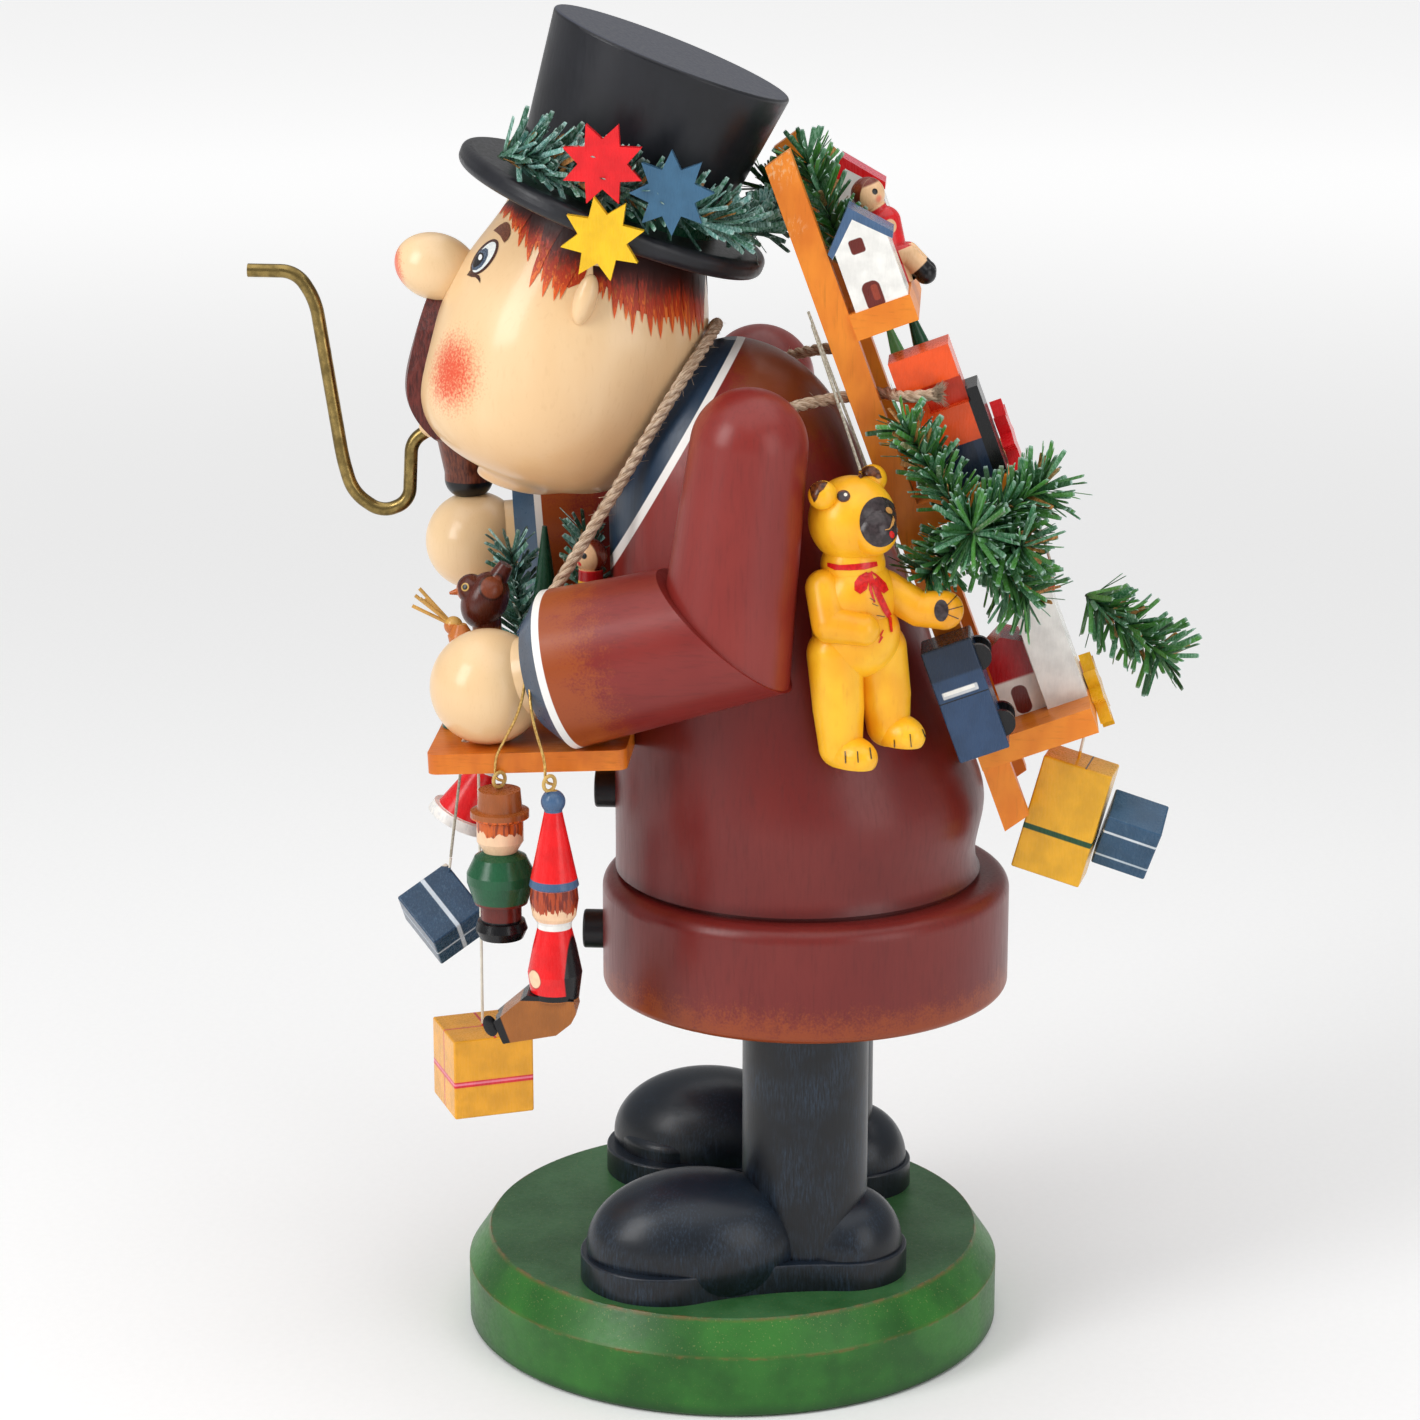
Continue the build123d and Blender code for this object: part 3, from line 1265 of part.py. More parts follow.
for name, piece in (("green", green_figure), ("puppet", red_puppet), ("front_yellow", front_yellow_parcel),
                    ("front_blue", front_blue_parcel), ("back", back_parcels), ("ornament", ornament),
                    ("bear", bear)):
    middle = piece.part.center(CenterOf.MASS)
    print(name, "centre of mass", [round(value, 2) for value in (middle.X, middle.Y, middle.Z)])
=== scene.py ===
"""Finishes, painted faces, evergreen and ropes of the toy pedlar incense smoker."""

import math
import random

import bmesh
import bpy
from mathutils import Euler, Matrix, Vector
from mathutils.bvhtree import BVHTree


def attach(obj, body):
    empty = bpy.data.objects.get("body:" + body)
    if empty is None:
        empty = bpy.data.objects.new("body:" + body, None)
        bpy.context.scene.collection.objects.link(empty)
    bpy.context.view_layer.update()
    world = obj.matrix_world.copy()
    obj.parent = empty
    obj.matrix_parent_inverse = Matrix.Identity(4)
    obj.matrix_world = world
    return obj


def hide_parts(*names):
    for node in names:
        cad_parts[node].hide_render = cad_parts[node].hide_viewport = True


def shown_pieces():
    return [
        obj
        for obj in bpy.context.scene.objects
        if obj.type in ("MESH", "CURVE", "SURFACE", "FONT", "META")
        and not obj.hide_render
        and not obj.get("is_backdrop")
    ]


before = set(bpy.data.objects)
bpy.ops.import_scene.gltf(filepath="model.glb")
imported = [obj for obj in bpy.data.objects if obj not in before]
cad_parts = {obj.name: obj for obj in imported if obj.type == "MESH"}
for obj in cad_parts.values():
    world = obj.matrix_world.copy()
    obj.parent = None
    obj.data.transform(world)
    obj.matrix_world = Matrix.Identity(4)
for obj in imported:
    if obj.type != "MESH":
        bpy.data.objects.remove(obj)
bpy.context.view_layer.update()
MM = 0.001

# Camera, in metres, looking at the figure's left side from a little above
EYE = Vector((0.91245, 0.05417, 0.40290))
LOOK = Vector((-0.96405248, -0.06336139, -0.25804681))
RIGHT = Vector((-0.06558251, 0.99784715, 0.0))
UP = Vector((-0.25749128, -0.01692336, 0.96613241))
LENS = 96.85
SENSOR = 36.0

# The hat and the back rack lean back: their own directions, and the rack's foot in mm
HAT_LEAN = math.radians(21.5)
HAT_AXIS = Vector((0, math.sin(HAT_LEAN), math.cos(HAT_LEAN)))
RACK_LEAN = math.radians(20.2)
RACK_UP = Vector((0, -math.sin(RACK_LEAN), math.cos(RACK_LEAN)))
RACK_BACK = Vector((0, math.cos(RACK_LEAN), math.sin(RACK_LEAN)))
RACK_FOOT = Vector((0, 66.4, 135.1))


def rack_place(x, back, up):
    """A place in the shared frame, in mm, from the rack's own left, back and up."""
    return RACK_FOOT + Vector((x, 0, 0)) + RACK_BACK * back + RACK_UP * up


def srgb(red, green, blue):
    """A colour as seen on a screen, 0 to 255, turned into the shader's linear values."""
    def linear(value):
        share = value / 255
        return share / 12.92 if share <= 0.04045 else ((share + 0.055) / 1.055) ** 2.4
    return (linear(red), linear(green), linear(blue), 1.0)


class Paint:
    """A material being mixed: short calls that add one node each."""

    def __init__(self, name, colour, rough=0.4, coat=0.0, coat_rough=0.1, metal=0.0, specular=0.32):
        self.material = bpy.data.materials.new(name)
        self.material.use_nodes = True
        self.tree = self.material.node_tree
        self.nodes = self.tree.nodes
        self.shader = self.nodes["Principled BSDF"]
        self.shader.inputs["Base Color"].default_value = colour
        self.shader.inputs["Roughness"].default_value = rough
        self.shader.inputs["Coat Weight"].default_value = coat * 0.4
        self.shader.inputs["Coat Roughness"].default_value = coat_rough
        self.shader.inputs["Metallic"].default_value = metal
        self.shader.inputs["Specular IOR Level"].default_value = specular
        place = self.nodes.new("ShaderNodeTexCoord")
        self.place = place.outputs["Object"]
        self.axes = None

    def link(self, source, target):
        """Join a socket to another, or set a plain number or colour on it."""
        if isinstance(source, (int, float, tuple)):
            target.default_value = source
        else:
            self.tree.links.new(source, target)

    def math(self, operation, first, second=0.0):
        """One step of arithmetic."""
        node = self.nodes.new("ShaderNodeMath")
        node.operation = operation
        for value, socket in zip((first, second), node.inputs):
            self.link(value, socket)
        return node.outputs[0]

    def xyz(self):
        """The three coordinates in mm."""
        if self.axes is None:
            split = self.nodes.new("ShaderNodeSeparateXYZ")
            self.link(self.place, split.inputs[0])
            self.axes = [self.math("DIVIDE", out, MM) for out in split.outputs]
        return self.axes

    def along(self, direction, origin):
        """Distance in mm along a direction from a place given in mm."""
        shift = self.nodes.new("ShaderNodeVectorMath")
        shift.operation = "SUBTRACT"
        self.link(self.place, shift.inputs[0])
        shift.inputs[1].default_value = Vector(origin) * MM
        dot = self.nodes.new("ShaderNodeVectorMath")
        dot.operation = "DOT_PRODUCT"
        self.link(shift.outputs[0], dot.inputs[0])
        dot.inputs[1].default_value = Vector(direction) / MM
        return dot.outputs["Value"]

    def frame(self, origin, *directions):
        """Distances in mm along several directions from one place."""
        return [self.along(direction, origin) for direction in directions]

    def distance(self, origin):
        """Distance in mm from a place given in mm."""
        node = self.nodes.new("ShaderNodeVectorMath")
        node.operation = "DISTANCE"
        self.link(self.place, node.inputs[0])
        node.inputs[1].default_value = Vector(origin) * MM
        return self.math("DIVIDE", node.outputs["Value"], MM)

    def ramp(self, value, low, high, out_low=0.0, out_high=1.0):
        """A smooth step between two values."""
        node = self.nodes.new("ShaderNodeMapRange")
        node.interpolation_type = "SMOOTHSTEP"
        self.link(value, node.inputs["Value"])
        node.inputs["From Min"].default_value = low
        node.inputs["From Max"].default_value = high
        node.inputs["To Min"].default_value = out_low
        node.inputs["To Max"].default_value = out_high
        return node.outputs["Result"]

    def roughened(self, value, noise, reach):
        """A value pushed up and down by a noise, by up to half the reach."""
        swing = self.math("MULTIPLY", self.math("SUBTRACT", noise, 0.5), reach)
        return self.math("ADD", value, swing)

    def noise(self, size, stretch=(1, 1, 1), detail=3.0, rough=0.5, turn=(0, 0, 0), distort=0.0):
        """Noise whose grains are about size mm, drawn out by the stretch along each axis."""
        mapping = self.nodes.new("ShaderNodeMapping")
        mapping.inputs["Rotation"].default_value = turn
        mapping.inputs["Scale"].default_value = [1 / (size * MM * s) for s in stretch]
        self.link(self.place, mapping.inputs["Vector"])
        node = self.nodes.new("ShaderNodeTexNoise")
        node.inputs["Scale"].default_value = 1.0
        node.inputs["Detail"].default_value = detail
        node.inputs["Roughness"].default_value = rough
        node.inputs["Distortion"].default_value = distort
        self.link(mapping.outputs[0], node.inputs["Vector"])
        return node.outputs["Fac"]

    def mix(self, share, first, second):
        """The first colour, turned into the second by a share."""
        node = self.nodes.new("ShaderNodeMix")
        node.data_type = "RGBA"
        self.link(share, node.inputs[0])
        self.link(first, node.inputs[6])
        self.link(second, node.inputs[7])
        return node.outputs[2]

    def attribute(self, name):
        """A number stored on the mesh."""
        node = self.nodes.new("ShaderNodeAttribute")
        node.attribute_name = name
        return node.outputs["Fac"]

    def colour(self, source):
        """The surface's colour."""
        self.link(source, self.shader.inputs["Base Color"])

    def rough(self, source):
        """The surface's roughness."""
        self.link(source, self.shader.inputs["Roughness"])

    def bump(self, height, depth):
        """Relief of the given depth in mm."""
        node = self.nodes.new("ShaderNodeBump")
        node.inputs["Strength"].default_value = 1.0
        node.inputs["Distance"].default_value = depth * MM
        self.link(height, node.inputs["Height"])
        self.link(node.outputs[0], self.shader.inputs["Normal"])


def put(material, *names):
    """Give CAD nodes their finish."""
    for name in names:
        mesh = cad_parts[name].data
        mesh.materials.clear()
        mesh.materials.append(material)


def new_piece(name, mesh, finish, body):
    """A finished mesh that rides on a body."""
    piece = bpy.data.objects.new(name, mesh)
    bpy.context.scene.collection.objects.link(piece)
    mesh.materials.append(finish)
    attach(piece, body)
    return piece


# Turned and painted body: heights and widths in mm
SEAM_Z = 118.3
HEM_FOOT_Z = 89.4
HEM_AMBER_HEIGHT = 15
WAIST_SHADE_Z = (200, 150)
SHOULDER_Z = (212, 244)
COLLAR_EDGE = 1.8
COLLAR_WIDTH = 13.1
SHIRT_FRONT_Y = -18.5
CUFF_LINE = 1.8
CUFF_AMBER_LENGTH = 27
WINE = srgb(126, 36, 32)
WINE_DARK = srgb(60, 16, 16)
WINE_LIGHT = srgb(148, 54, 46)
AMBER = srgb(158, 74, 24)
NIGHT_BLUE = srgb(38, 58, 80)
CREAM = srgb(238, 236, 232)


def wine_paint(name, grain=(1, 1, 10)):
    """The coat's wine red with its brushed grain, before any shading is laid over it."""
    paint = Paint(name, WINE, 0.34, 0.4, 0.3)
    brush = paint.noise(0.9, grain, 5.0, 0.65)
    cloud = paint.noise(20.0, (1, 1, 1.8), 3.0, 0.5)
    tone = paint.mix(paint.ramp(cloud, 0.34, 0.74, 0.0, 0.4), WINE, WINE_LIGHT)
    tone = paint.mix(paint.ramp(brush, 0.46, 0.74, 0.0, 0.24), tone, WINE_DARK)
    paint.specks = paint.noise(0.5, (1, 1, 1), 2.0)
    paint.patches = paint.noise(4.0, (1, 1, 1), 4.0, 0.6)
    paint.brush = brush
    paint.rough(paint.ramp(brush, 0.2, 0.8, 0.28, 0.42))
    paint.bump(brush, 0.025)
    return paint, tone


def airbrush(paint, tone, share, colour):
    """Sprayed shading that breaks into specks where it fades out."""
    grainy = paint.roughened(share, paint.specks, 0.9)
    mottled = paint.roughened(grainy, paint.patches, 1.1)
    return paint.mix(paint.ramp(mottled, 0.25, 0.95, 0.0, 0.85), tone, colour)


def coat_finish():
    """Wine coat with painted shade at the waist and just above the seam, brown on the shoulders, with the
    blue collar edged in cream.
    """
    paint, tone = wine_paint("coat_wine")
    y, z = paint.xyz()[1:]
    # Painted shade: darker towards the waist
    shade = paint.math("MULTIPLY", paint.ramp(z, *WAIST_SHADE_Z), 0.35)
    tone = paint.mix(shade, tone, WINE_DARK)
    shoulder = paint.math("MULTIPLY", paint.ramp(z, *SHOULDER_Z), paint.ramp(y, -6, 8))
    tone = airbrush(paint, tone, shoulder, srgb(128, 62, 22))
    # Painted shade: darker just above the seam, where the coat meets the hem ring
    edge = paint.ramp(z, SEAM_Z + 5, SEAM_Z, 0.0, 0.6)
    tone = paint.mix(edge, tone, WINE_DARK)
    collar_line = Vector((0, 2.3, 251.0))
    collar_side = Vector((0, -0.867, 0.498))
    beyond = paint.along(collar_side, collar_line)
    blue = paint.mix(paint.ramp(paint.brush, 0.35, 0.75, 0, 0.4), NIGHT_BLUE, srgb(24, 38, 55))
    tone = paint.mix(above(paint, beyond, 0.0, 0.1), tone, CREAM)
    tone = paint.mix(above(paint, beyond, COLLAR_EDGE, 0.1), tone, blue)
    shirt = both(paint, above(paint, beyond, COLLAR_WIDTH, 0.1), below(paint, y, SHIRT_FRONT_Y, 0.5))
    paint.colour(paint.mix(shirt, tone, CREAM))
    return paint.material


def hem_finish():
    """Wine ring with an amber foot."""
    paint, tone = wine_paint("hem_wine")
    z = paint.xyz()[2]
    tone = paint.mix(0.3, tone, WINE_DARK)
    rising = paint.ramp(z, HEM_FOOT_Z + HEM_AMBER_HEIGHT, HEM_FOOT_Z - 2)
    tone = airbrush(paint, tone, rising, srgb(148, 66, 24))
    paint.colour(tone)
    return paint.material


LEFT_ELBOW = Vector((45.0, 1.0, 189.6))
LEFT_WRIST = Vector((39.0, -38.6, 178.5))
RIGHT_ELBOW = Vector((-45.0, -8.0, 197.0))
RIGHT_WRIST = Vector((-40.0, -52.6, 193.6))


def sleeve_finish(name, elbow, wrist):
    """Forearm: amber airbrush towards the cuff and a white line round the end."""
    paint, tone = wine_paint(name, grain=(1, 10, 1))
    run = (wrist - elbow).normalized()
    before = paint.math("MULTIPLY", paint.along(run, wrist), -1.0)
    tone = airbrush(paint, tone, paint.ramp(before, CUFF_AMBER_LENGTH, 1), AMBER)
    tone = paint.mix(below(paint, before, CUFF_LINE, 0.1), tone, CREAM)
    paint.colour(tone)
    return paint.material


def upper_arm_finish(name, elbow):
    """Wine sleeve, with a painted highlight that grows towards the elbow."""
    paint, tone = wine_paint(name)
    z = paint.xyz()[2]
    # Painted highlight: lighter towards the elbow
    tone = paint.mix(paint.ramp(z, elbow.z - 10, elbow.z + 14, 0.45, 0.15), tone, WINE_LIGHT)
    paint.colour(tone)
    return paint.material


def boot_finish():
    """Dark blue-black with a faint brushed blue bloom, and painted light that lifts what faces up."""
    paint = Paint("boot_night_blue", srgb(22, 26, 34), 0.36, 0.5, 0.25)
    brush = paint.noise(0.5, (1, 1, 7), 5.0, 0.7)
    cloud = paint.noise(14.0, (1, 1, 1), 3.0)
    # Painted light: faces that look up are lifted towards the pale blue
    top = upward(paint, -0.1, 0.9)
    bloom = both(paint, paint.ramp(cloud, 0.35, 0.65), paint.ramp(brush, 0.36, 0.76), 0.55)
    bloom = paint.math("MAXIMUM", bloom, paint.math("MULTIPLY", top, 0.16))
    tone = paint.mix(bloom, srgb(11, 14, 20), srgb(54, 74, 96))
    paint.colour(tone)
    paint.rough(paint.ramp(brush, 0.2, 0.8, 0.3, 0.44))
    paint.bump(brush, 0.03)
    return paint.material


BASE_TOP_Z = 23.15
BEVEL_FOOT_Z = 15.3
BEVEL_TOP_RADIUS = 62.2


def base_finish():
    """Bright green side and bevel, a darker top, sprayed specks, thin brown lines on rubbed edges and painted
    shade at the foot.
    """
    paint = Paint("base_green", srgb(52, 98, 50), 0.4, 0.4, 0.3)
    x, y, z = paint.xyz()
    radius = paint.math("SQRT", paint.math("ADD", paint.math("POWER", x, 2.0), paint.math("POWER", y, 2.0)))
    rings = paint.noise(1.5, (1, 1, 0.6), 4.0, 0.6)
    cloud = paint.noise(18.0, (1, 1, 1), 4.0, 0.55)
    wear = paint.noise(4.0, (1, 1, 0.5), 4.0, 0.65)
    specks = paint.noise(0.5, (1, 1, 1), 2.0)
    side = paint.mix(paint.ramp(cloud, 0.3, 0.72), srgb(28, 84, 24), srgb(48, 116, 38))
    top = paint.mix(paint.ramp(cloud, 0.3, 0.72), srgb(38, 86, 42), srgb(62, 110, 66))
    tone = paint.mix(above(paint, z, BASE_TOP_Z, 0.25), side, top)
    dust = paint.math("MULTIPLY", paint.ramp(specks, 0.64, 0.7), paint.ramp(z, 10, 23, 0.1, 0.35))
    tone = paint.mix(dust, tone, srgb(158, 156, 98))
    low_edge = stripe(paint, paint.roughened(z, wear, 1.6), BEVEL_FOOT_Z, 0.35, 0.35)
    high_edge = stripe(paint, paint.roughened(radius, wear, 1.6), BEVEL_TOP_RADIUS, 0.4, 0.35)
    high_edge = both(paint, high_edge, above(paint, z, BASE_TOP_Z - 0.55, 0.4))
    worn = both(paint, paint.math("MAXIMUM", low_edge, high_edge), paint.ramp(wear, 0.4, 0.66, 0.1, 0.6))
    tone = paint.mix(worn, tone, srgb(126, 84, 44))
    # Painted shade: darker towards the bottom, where the base meets the floor
    foot = paint.ramp(z, 4.0, 0.0, 0.0, 0.6)
    tone = paint.mix(foot, tone, srgb(20, 44, 24))
    paint.colour(tone)
    paint.rough(paint.ramp(rings, 0.2, 0.8, 0.34, 0.5))
    paint.bump(rings, 0.04)
    return paint.material


# Skin, hair and painted face
SKIN = srgb(240, 206, 160)
CHEEK_CENTRE = Vector((24.0, -68.2, 247.0))
CHEEK_RADIUS = 18.5
NOSE_TIP = (0, -83.0, 268.0)
NOSE_BLUSH_RADIUS = 9.5
CHIN_SHADE_Z = (240, 214)
BROW_SHADE_Z = (262, 286)


def beech(name, colour, grain=(1, 1, 9)):
    """Pale beech under clear varnish."""
    paint = Paint(name, colour, 0.3, 0.9, 0.14)
    flecks = paint.noise(0.45, grain, 3.0, 0.5)
    cloud = paint.noise(16.0, (1, 1, 2.2), 3.0)
    tone = paint.mix(paint.ramp(cloud, 0.3, 0.7, 0.0, 0.6), colour, srgb(232, 190, 138))
    tone = paint.mix(paint.ramp(flecks, 0.54, 0.74, 0.0, 0.1), tone, srgb(200, 150, 98))
    paint.bump(flecks, 0.012)
    return paint, tone


def head_finish():
    """Beech head with sprayed red cheeks, and warmer painted shade under the chin and below the hat."""
    paint, tone = beech("head_beech", SKIN, grain=(1, 3, 9))
    x, y, z = paint.xyz()
    mirrored = paint.nodes.new("ShaderNodeCombineXYZ")
    for value, socket in zip((paint.math("ABSOLUTE", x), y, z), mirrored.inputs):
        paint.link(value, socket)
    reach = paint.nodes.new("ShaderNodeVectorMath")
    reach.operation = "DISTANCE"
    paint.link(mirrored.outputs[0], reach.inputs[0])
    reach.inputs[1].default_value = CHEEK_CENTRE
    specks = paint.noise(0.55, (1, 1, 1), 2.0)
    blush = paint.ramp(reach.outputs["Value"], CHEEK_RADIUS, 0.0)
    grainy = paint.roughened(blush, specks, 1.1)
    tone = paint.mix(paint.ramp(grainy, 0.25, 1.0, 0.0, 0.95), tone, srgb(226, 72, 42))
    # Painted shade under the chin, and below the hat brim
    under = paint.ramp(z, *CHIN_SHADE_Z, 0.0, 0.45)
    tone = paint.mix(under, tone, srgb(216, 160, 104))
    brow = paint.math("MULTIPLY", paint.ramp(z, *BROW_SHADE_Z), 0.3)
    tone = paint.mix(brow, tone, srgb(224, 172, 118))
    paint.colour(tone)
    return paint.material


def nose_finish():
    """Beech nose with a sprayed red tip."""
    paint, tone = beech("nose_beech", SKIN)
    specks = paint.noise(0.4, (1, 1, 1), 2.0)
    near = paint.ramp(paint.distance(NOSE_TIP), NOSE_BLUSH_RADIUS, 2.0)
    grainy = paint.roughened(near, specks, 1.0)
    paint.colour(paint.mix(paint.ramp(grainy, 0.25, 0.8, 0.0, 0.85), tone, srgb(232, 84, 54)))
    return paint.material


def plain_beech(name):
    paint, tone = beech(name, SKIN)
    paint.colour(tone)
    return paint.material


def tree_of(names):
    """A search tree over the merged surface of some CAD nodes."""
    verts, faces = [], []
    for name in names:
        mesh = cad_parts[name].data
        offset = len(verts)
        verts.extend(v.co.copy() for v in mesh.vertices)
        faces.extend([offset + i for i in p.vertices] for p in mesh.polygons)
    return BVHTree.FromPolygons(verts, faces)


def seen_from_camera(y, z):
    """The ray from the camera through a place (0, y, z) given in mm."""
    goal = Vector((0, y, z)) * MM
    return EYE, (goal - EYE).normalized()


# A shape's edges are halved in rounds, and shapes of one decal lie in layers, a share of its lift apart
SPLIT_ROUNDS = 6
LAYERS_APART = 4
LAYER_STEP = 0.25


def decal(name, shapes, surface, lift, finish, body="figure", mirror=False, tones=None, cell=0.9):
    """Flat painted shapes laid on a surface. Each shape is an outline of (y, z) in mm, as seen from the
    camera at x = 0, filled with a fine mesh that is dropped on the surface and lifted a little off it."""
    sides = (1, -1) if mirror else (1,)
    grid = bmesh.new()
    tone_layer = grid.verts.layers.float.new("tone")
    for index, outline in enumerate(shapes):
        piece = bmesh.new()
        loop = [piece.verts.new((0, y, z)) for y, z in outline]
        piece.faces.new(loop)
        bmesh.ops.triangulate(piece, faces=piece.faces[:])
        for _ in range(SPLIT_ROUNDS):
            long_edges = [e for e in piece.edges if e.calc_length() > cell]
            if not long_edges:
                break
            bmesh.ops.subdivide_edges(piece, edges=long_edges, cuts=1)
            bmesh.ops.triangulate(piece, faces=piece.faces[:])
        top = max(z for _, z in outline)
        low = min(z for _, z in outline)
        copies = {}
        for vert in piece.verts:
            start, direction = seen_from_camera(vert.co.y, vert.co.z)
            spot, normal, _, _ = surface.ray_cast(start, direction)
            if spot is None:
                continue
            if normal.dot(direction) > 0:
                normal = -normal
            layer_lift = lift * MM * (1 + LAYER_STEP * (index % LAYERS_APART))
            for side in sides:
                place = Vector((side * spot.x, spot.y, spot.z))
                out = Vector((side * normal.x, normal.y, normal.z))
                copy = grid.verts.new(place + out * layer_lift)
                share = (vert.co.z - low) / max(top - low, 1e-6)
                copy[tone_layer] = share if tones is None else tones[index] + share * 0.5
                copies[(vert, side)] = copy
        for face in piece.faces:
            for side in sides:
                corners = [copies.get((v, side)) for v in face.verts]
                if None in corners or len(set(corners)) < 3 or grid.faces.get(corners):
                    continue
                grid.faces.new(corners if side == 1 else corners[::-1])
        piece.free()
    bmesh.ops.recalc_face_normals(grid, faces=grid.faces[:])
    mesh = bpy.data.meshes.new(name)
    grid.to_mesh(mesh)
    grid.free()
    smooth(mesh)
    flip_outwards(mesh, surface)
    return new_piece(name, mesh, finish, body)


def smooth(mesh):
    """Shade a mesh as one rounded surface."""
    for polygon in mesh.polygons:
        polygon.use_smooth = True


def flip_outwards(mesh, surface):
    """Turn faces that point into the surface they lie on."""
    turned = bmesh.new()
    turned.from_mesh(mesh)
    wrong = []
    for face in turned.faces:
        middle = face.calc_center_median()
        spot = surface.find_nearest(middle)[0]
        if spot is not None and (middle - spot).dot(face.normal) < 0:
            wrong.append(face)
    bmesh.ops.reverse_faces(turned, faces=wrong)
    turned.to_mesh(mesh)
    turned.free()


def patch(paint, u, v, centre, half, corner, soft=0.12):
    """A rounded rectangle on the plane of two coordinates in mm."""
    squares = []
    for value, middle, reach in zip((u, v), centre, half):
        away = paint.math("ABSOLUTE", paint.math("SUBTRACT", value, middle))
        past = paint.math("MAXIMUM", paint.math("SUBTRACT", away, reach - corner), 0.0)
        squares.append(paint.math("MULTIPLY", past, past))
    distance = paint.math("SQRT", paint.math("ADD", *squares))
    return paint.ramp(distance, corner + soft, corner - soft)


def stripe(paint, value, centre, half, soft=0.1):
    """A band round a piece where one coordinate is near a value."""
    return paint.ramp(paint.math("ABSOLUTE", paint.math("SUBTRACT", value, centre)), half + soft, half - soft)


def above(paint, value, edge, soft=0.08):
    """Share of what lies past an edge."""
    return paint.ramp(value, edge - soft, edge + soft)


def below(paint, value, edge, soft=0.08):
    """Share of what lies short of an edge."""
    return paint.ramp(value, edge + soft, edge - soft)


def both(paint, *shares):
    """Where all the shares overlap."""
    result = shares[0]
    for share in shares[1:]:
        result = paint.math("MULTIPLY", result, share)
    return result


def ball_mask(paint, centre, radius, soft=0.12):
    """Share of what lies inside a ball."""
    return paint.ramp(paint.distance(centre), radius + soft, radius - soft)


TINT_DRIFT = 0.1


def lacquer(name, colour, rough=0.26, grain=(1, 1, 6), relief=0.02):
    """Bright toy lacquer with brush marks; returns the paint and its plain tone."""
    paint = Paint(name, colour, rough, 0.35, 0.18)
    brush = paint.noise(0.6, grain, 3.0, 0.55)
    cloud = paint.noise(5.0, (1, 1, 1), 3.0)
    paint.shade = paint.ramp(cloud, 0.3, 0.7)
    paint.rough(paint.ramp(brush, 0.2, 0.8, rough * 0.8, rough * 1.3))
    paint.bump(brush, relief)
    return paint, tinted(paint, colour)


def dimmed(colour, share):
    """A colour made darker, or lighter where the share is over one."""
    return tuple(min(1, channel * share) for channel in colour[:3]) + (1.0,)


def tinted(paint, colour):
    """A colour that drifts a little darker and lighter over a piece."""
    return paint.mix(paint.shade, dimmed(colour, 1 - TINT_DRIFT), dimmed(colour, 1 + TINT_DRIFT))


def painted_regions(name, colour, regions, **finish):
    """A lacquered toy: its ground colour, then each region's share and colour laid over it in turn."""
    paint, tone = lacquer(name, colour, **finish)
    for share, over in regions(paint):
        tone = paint.mix(share, tone, tinted(paint, over))
    paint.colour(tone)
    return paint.material


# Toy colours
RED = srgb(222, 30, 36)
DEEP_RED = srgb(170, 22, 28)
PINK = srgb(228, 70, 98)
SLATE = srgb(70, 98, 132)
TOY_BLUE = srgb(44, 68, 100)
TOY_WHITE = srgb(238, 237, 232)
DOOR_BROWN = srgb(104, 34, 26)
HAIR_BROWN = srgb(120, 48, 30)
FACE = srgb(236, 192, 146)
BLACK = srgb(16, 16, 19)
YELLOW = srgb(236, 178, 34)
DARK_GREEN = srgb(22, 74, 46)
TREE_GREEN = srgb(84, 150, 84)
GOLD = srgb(206, 168, 92)
GREEN_COAT = srgb(28, 86, 54)
THREAD_CREAM = srgb(222, 216, 200)


def rack_axes(paint):
    """Left, back and up in the rack's own frame."""
    return paint.frame(RACK_FOOT, (1, 0, 0), RACK_BACK, RACK_UP)


def gable_roof(paint, back, up, foot, ridge):
    """Share of the roof boards of a gable: foot and ridge are places along the two coordinates."""
    foot_back, foot_up = foot
    ridge_back, ridge_up = ridge
    run = abs(ridge_back - foot_back)
    rise = ridge_up - foot_up
    size = math.hypot(run, rise)
    outward = paint.math("ABSOLUTE", paint.math("SUBTRACT", back, ridge_back))
    drop = paint.math("SUBTRACT", ridge_up, up)
    height = paint.math(
        "SUBTRACT", paint.math("MULTIPLY", outward, rise / size), paint.math("MULTIPLY", drop, run / size))
    return paint.ramp(height, 0.02, 0.06)


def house_regions(x_face, roof_colour, eave_up, ridge_up, roof_light):
    """The two rack houses differ in their near face, in the roof's height and in its colours."""
    def regions(paint):
        x, back, up = rack_axes(paint)
        near = above(paint, x, x_face - 0.3, 0.05)
        far = below(paint, x, x_face - 11.4, 0.05)
        face = paint.math("MAXIMUM", near, far)
        window = both(paint, face, patch(paint, back, up, (15.1, 146.2), (1.75, 1.75), 0.7))
        door = both(paint, face, patch(paint, back, up, (14.9, 134.0), (2.2, 3.5), 1.7))
        sheen = both(paint, face, patch(paint, back, up, (15.6, 134.6), (0.8, 1.9), 0.6))
        roof = gable_roof(paint, back, up, (9.6, eave_up), (16.1, ridge_up))
        sunlit = both(paint, roof, upward(paint, 0.2, 0.8), 0.75)
        return (
            (window, DOOR_BROWN), (door, DOOR_BROWN), (sheen, srgb(150, 60, 40)),
            (roof, roof_colour), (sunlit, roof_light),
        )
    return regions


def upward(paint, low=0.35, high=0.75):
    """Share of faces that look up, where painted light falls on them."""
    geometry = paint.nodes.new("ShaderNodeNewGeometry")
    split = paint.nodes.new("ShaderNodeSeparateXYZ")
    paint.link(geometry.outputs["Normal"], split.inputs[0])
    return paint.ramp(split.outputs[2], low, high)


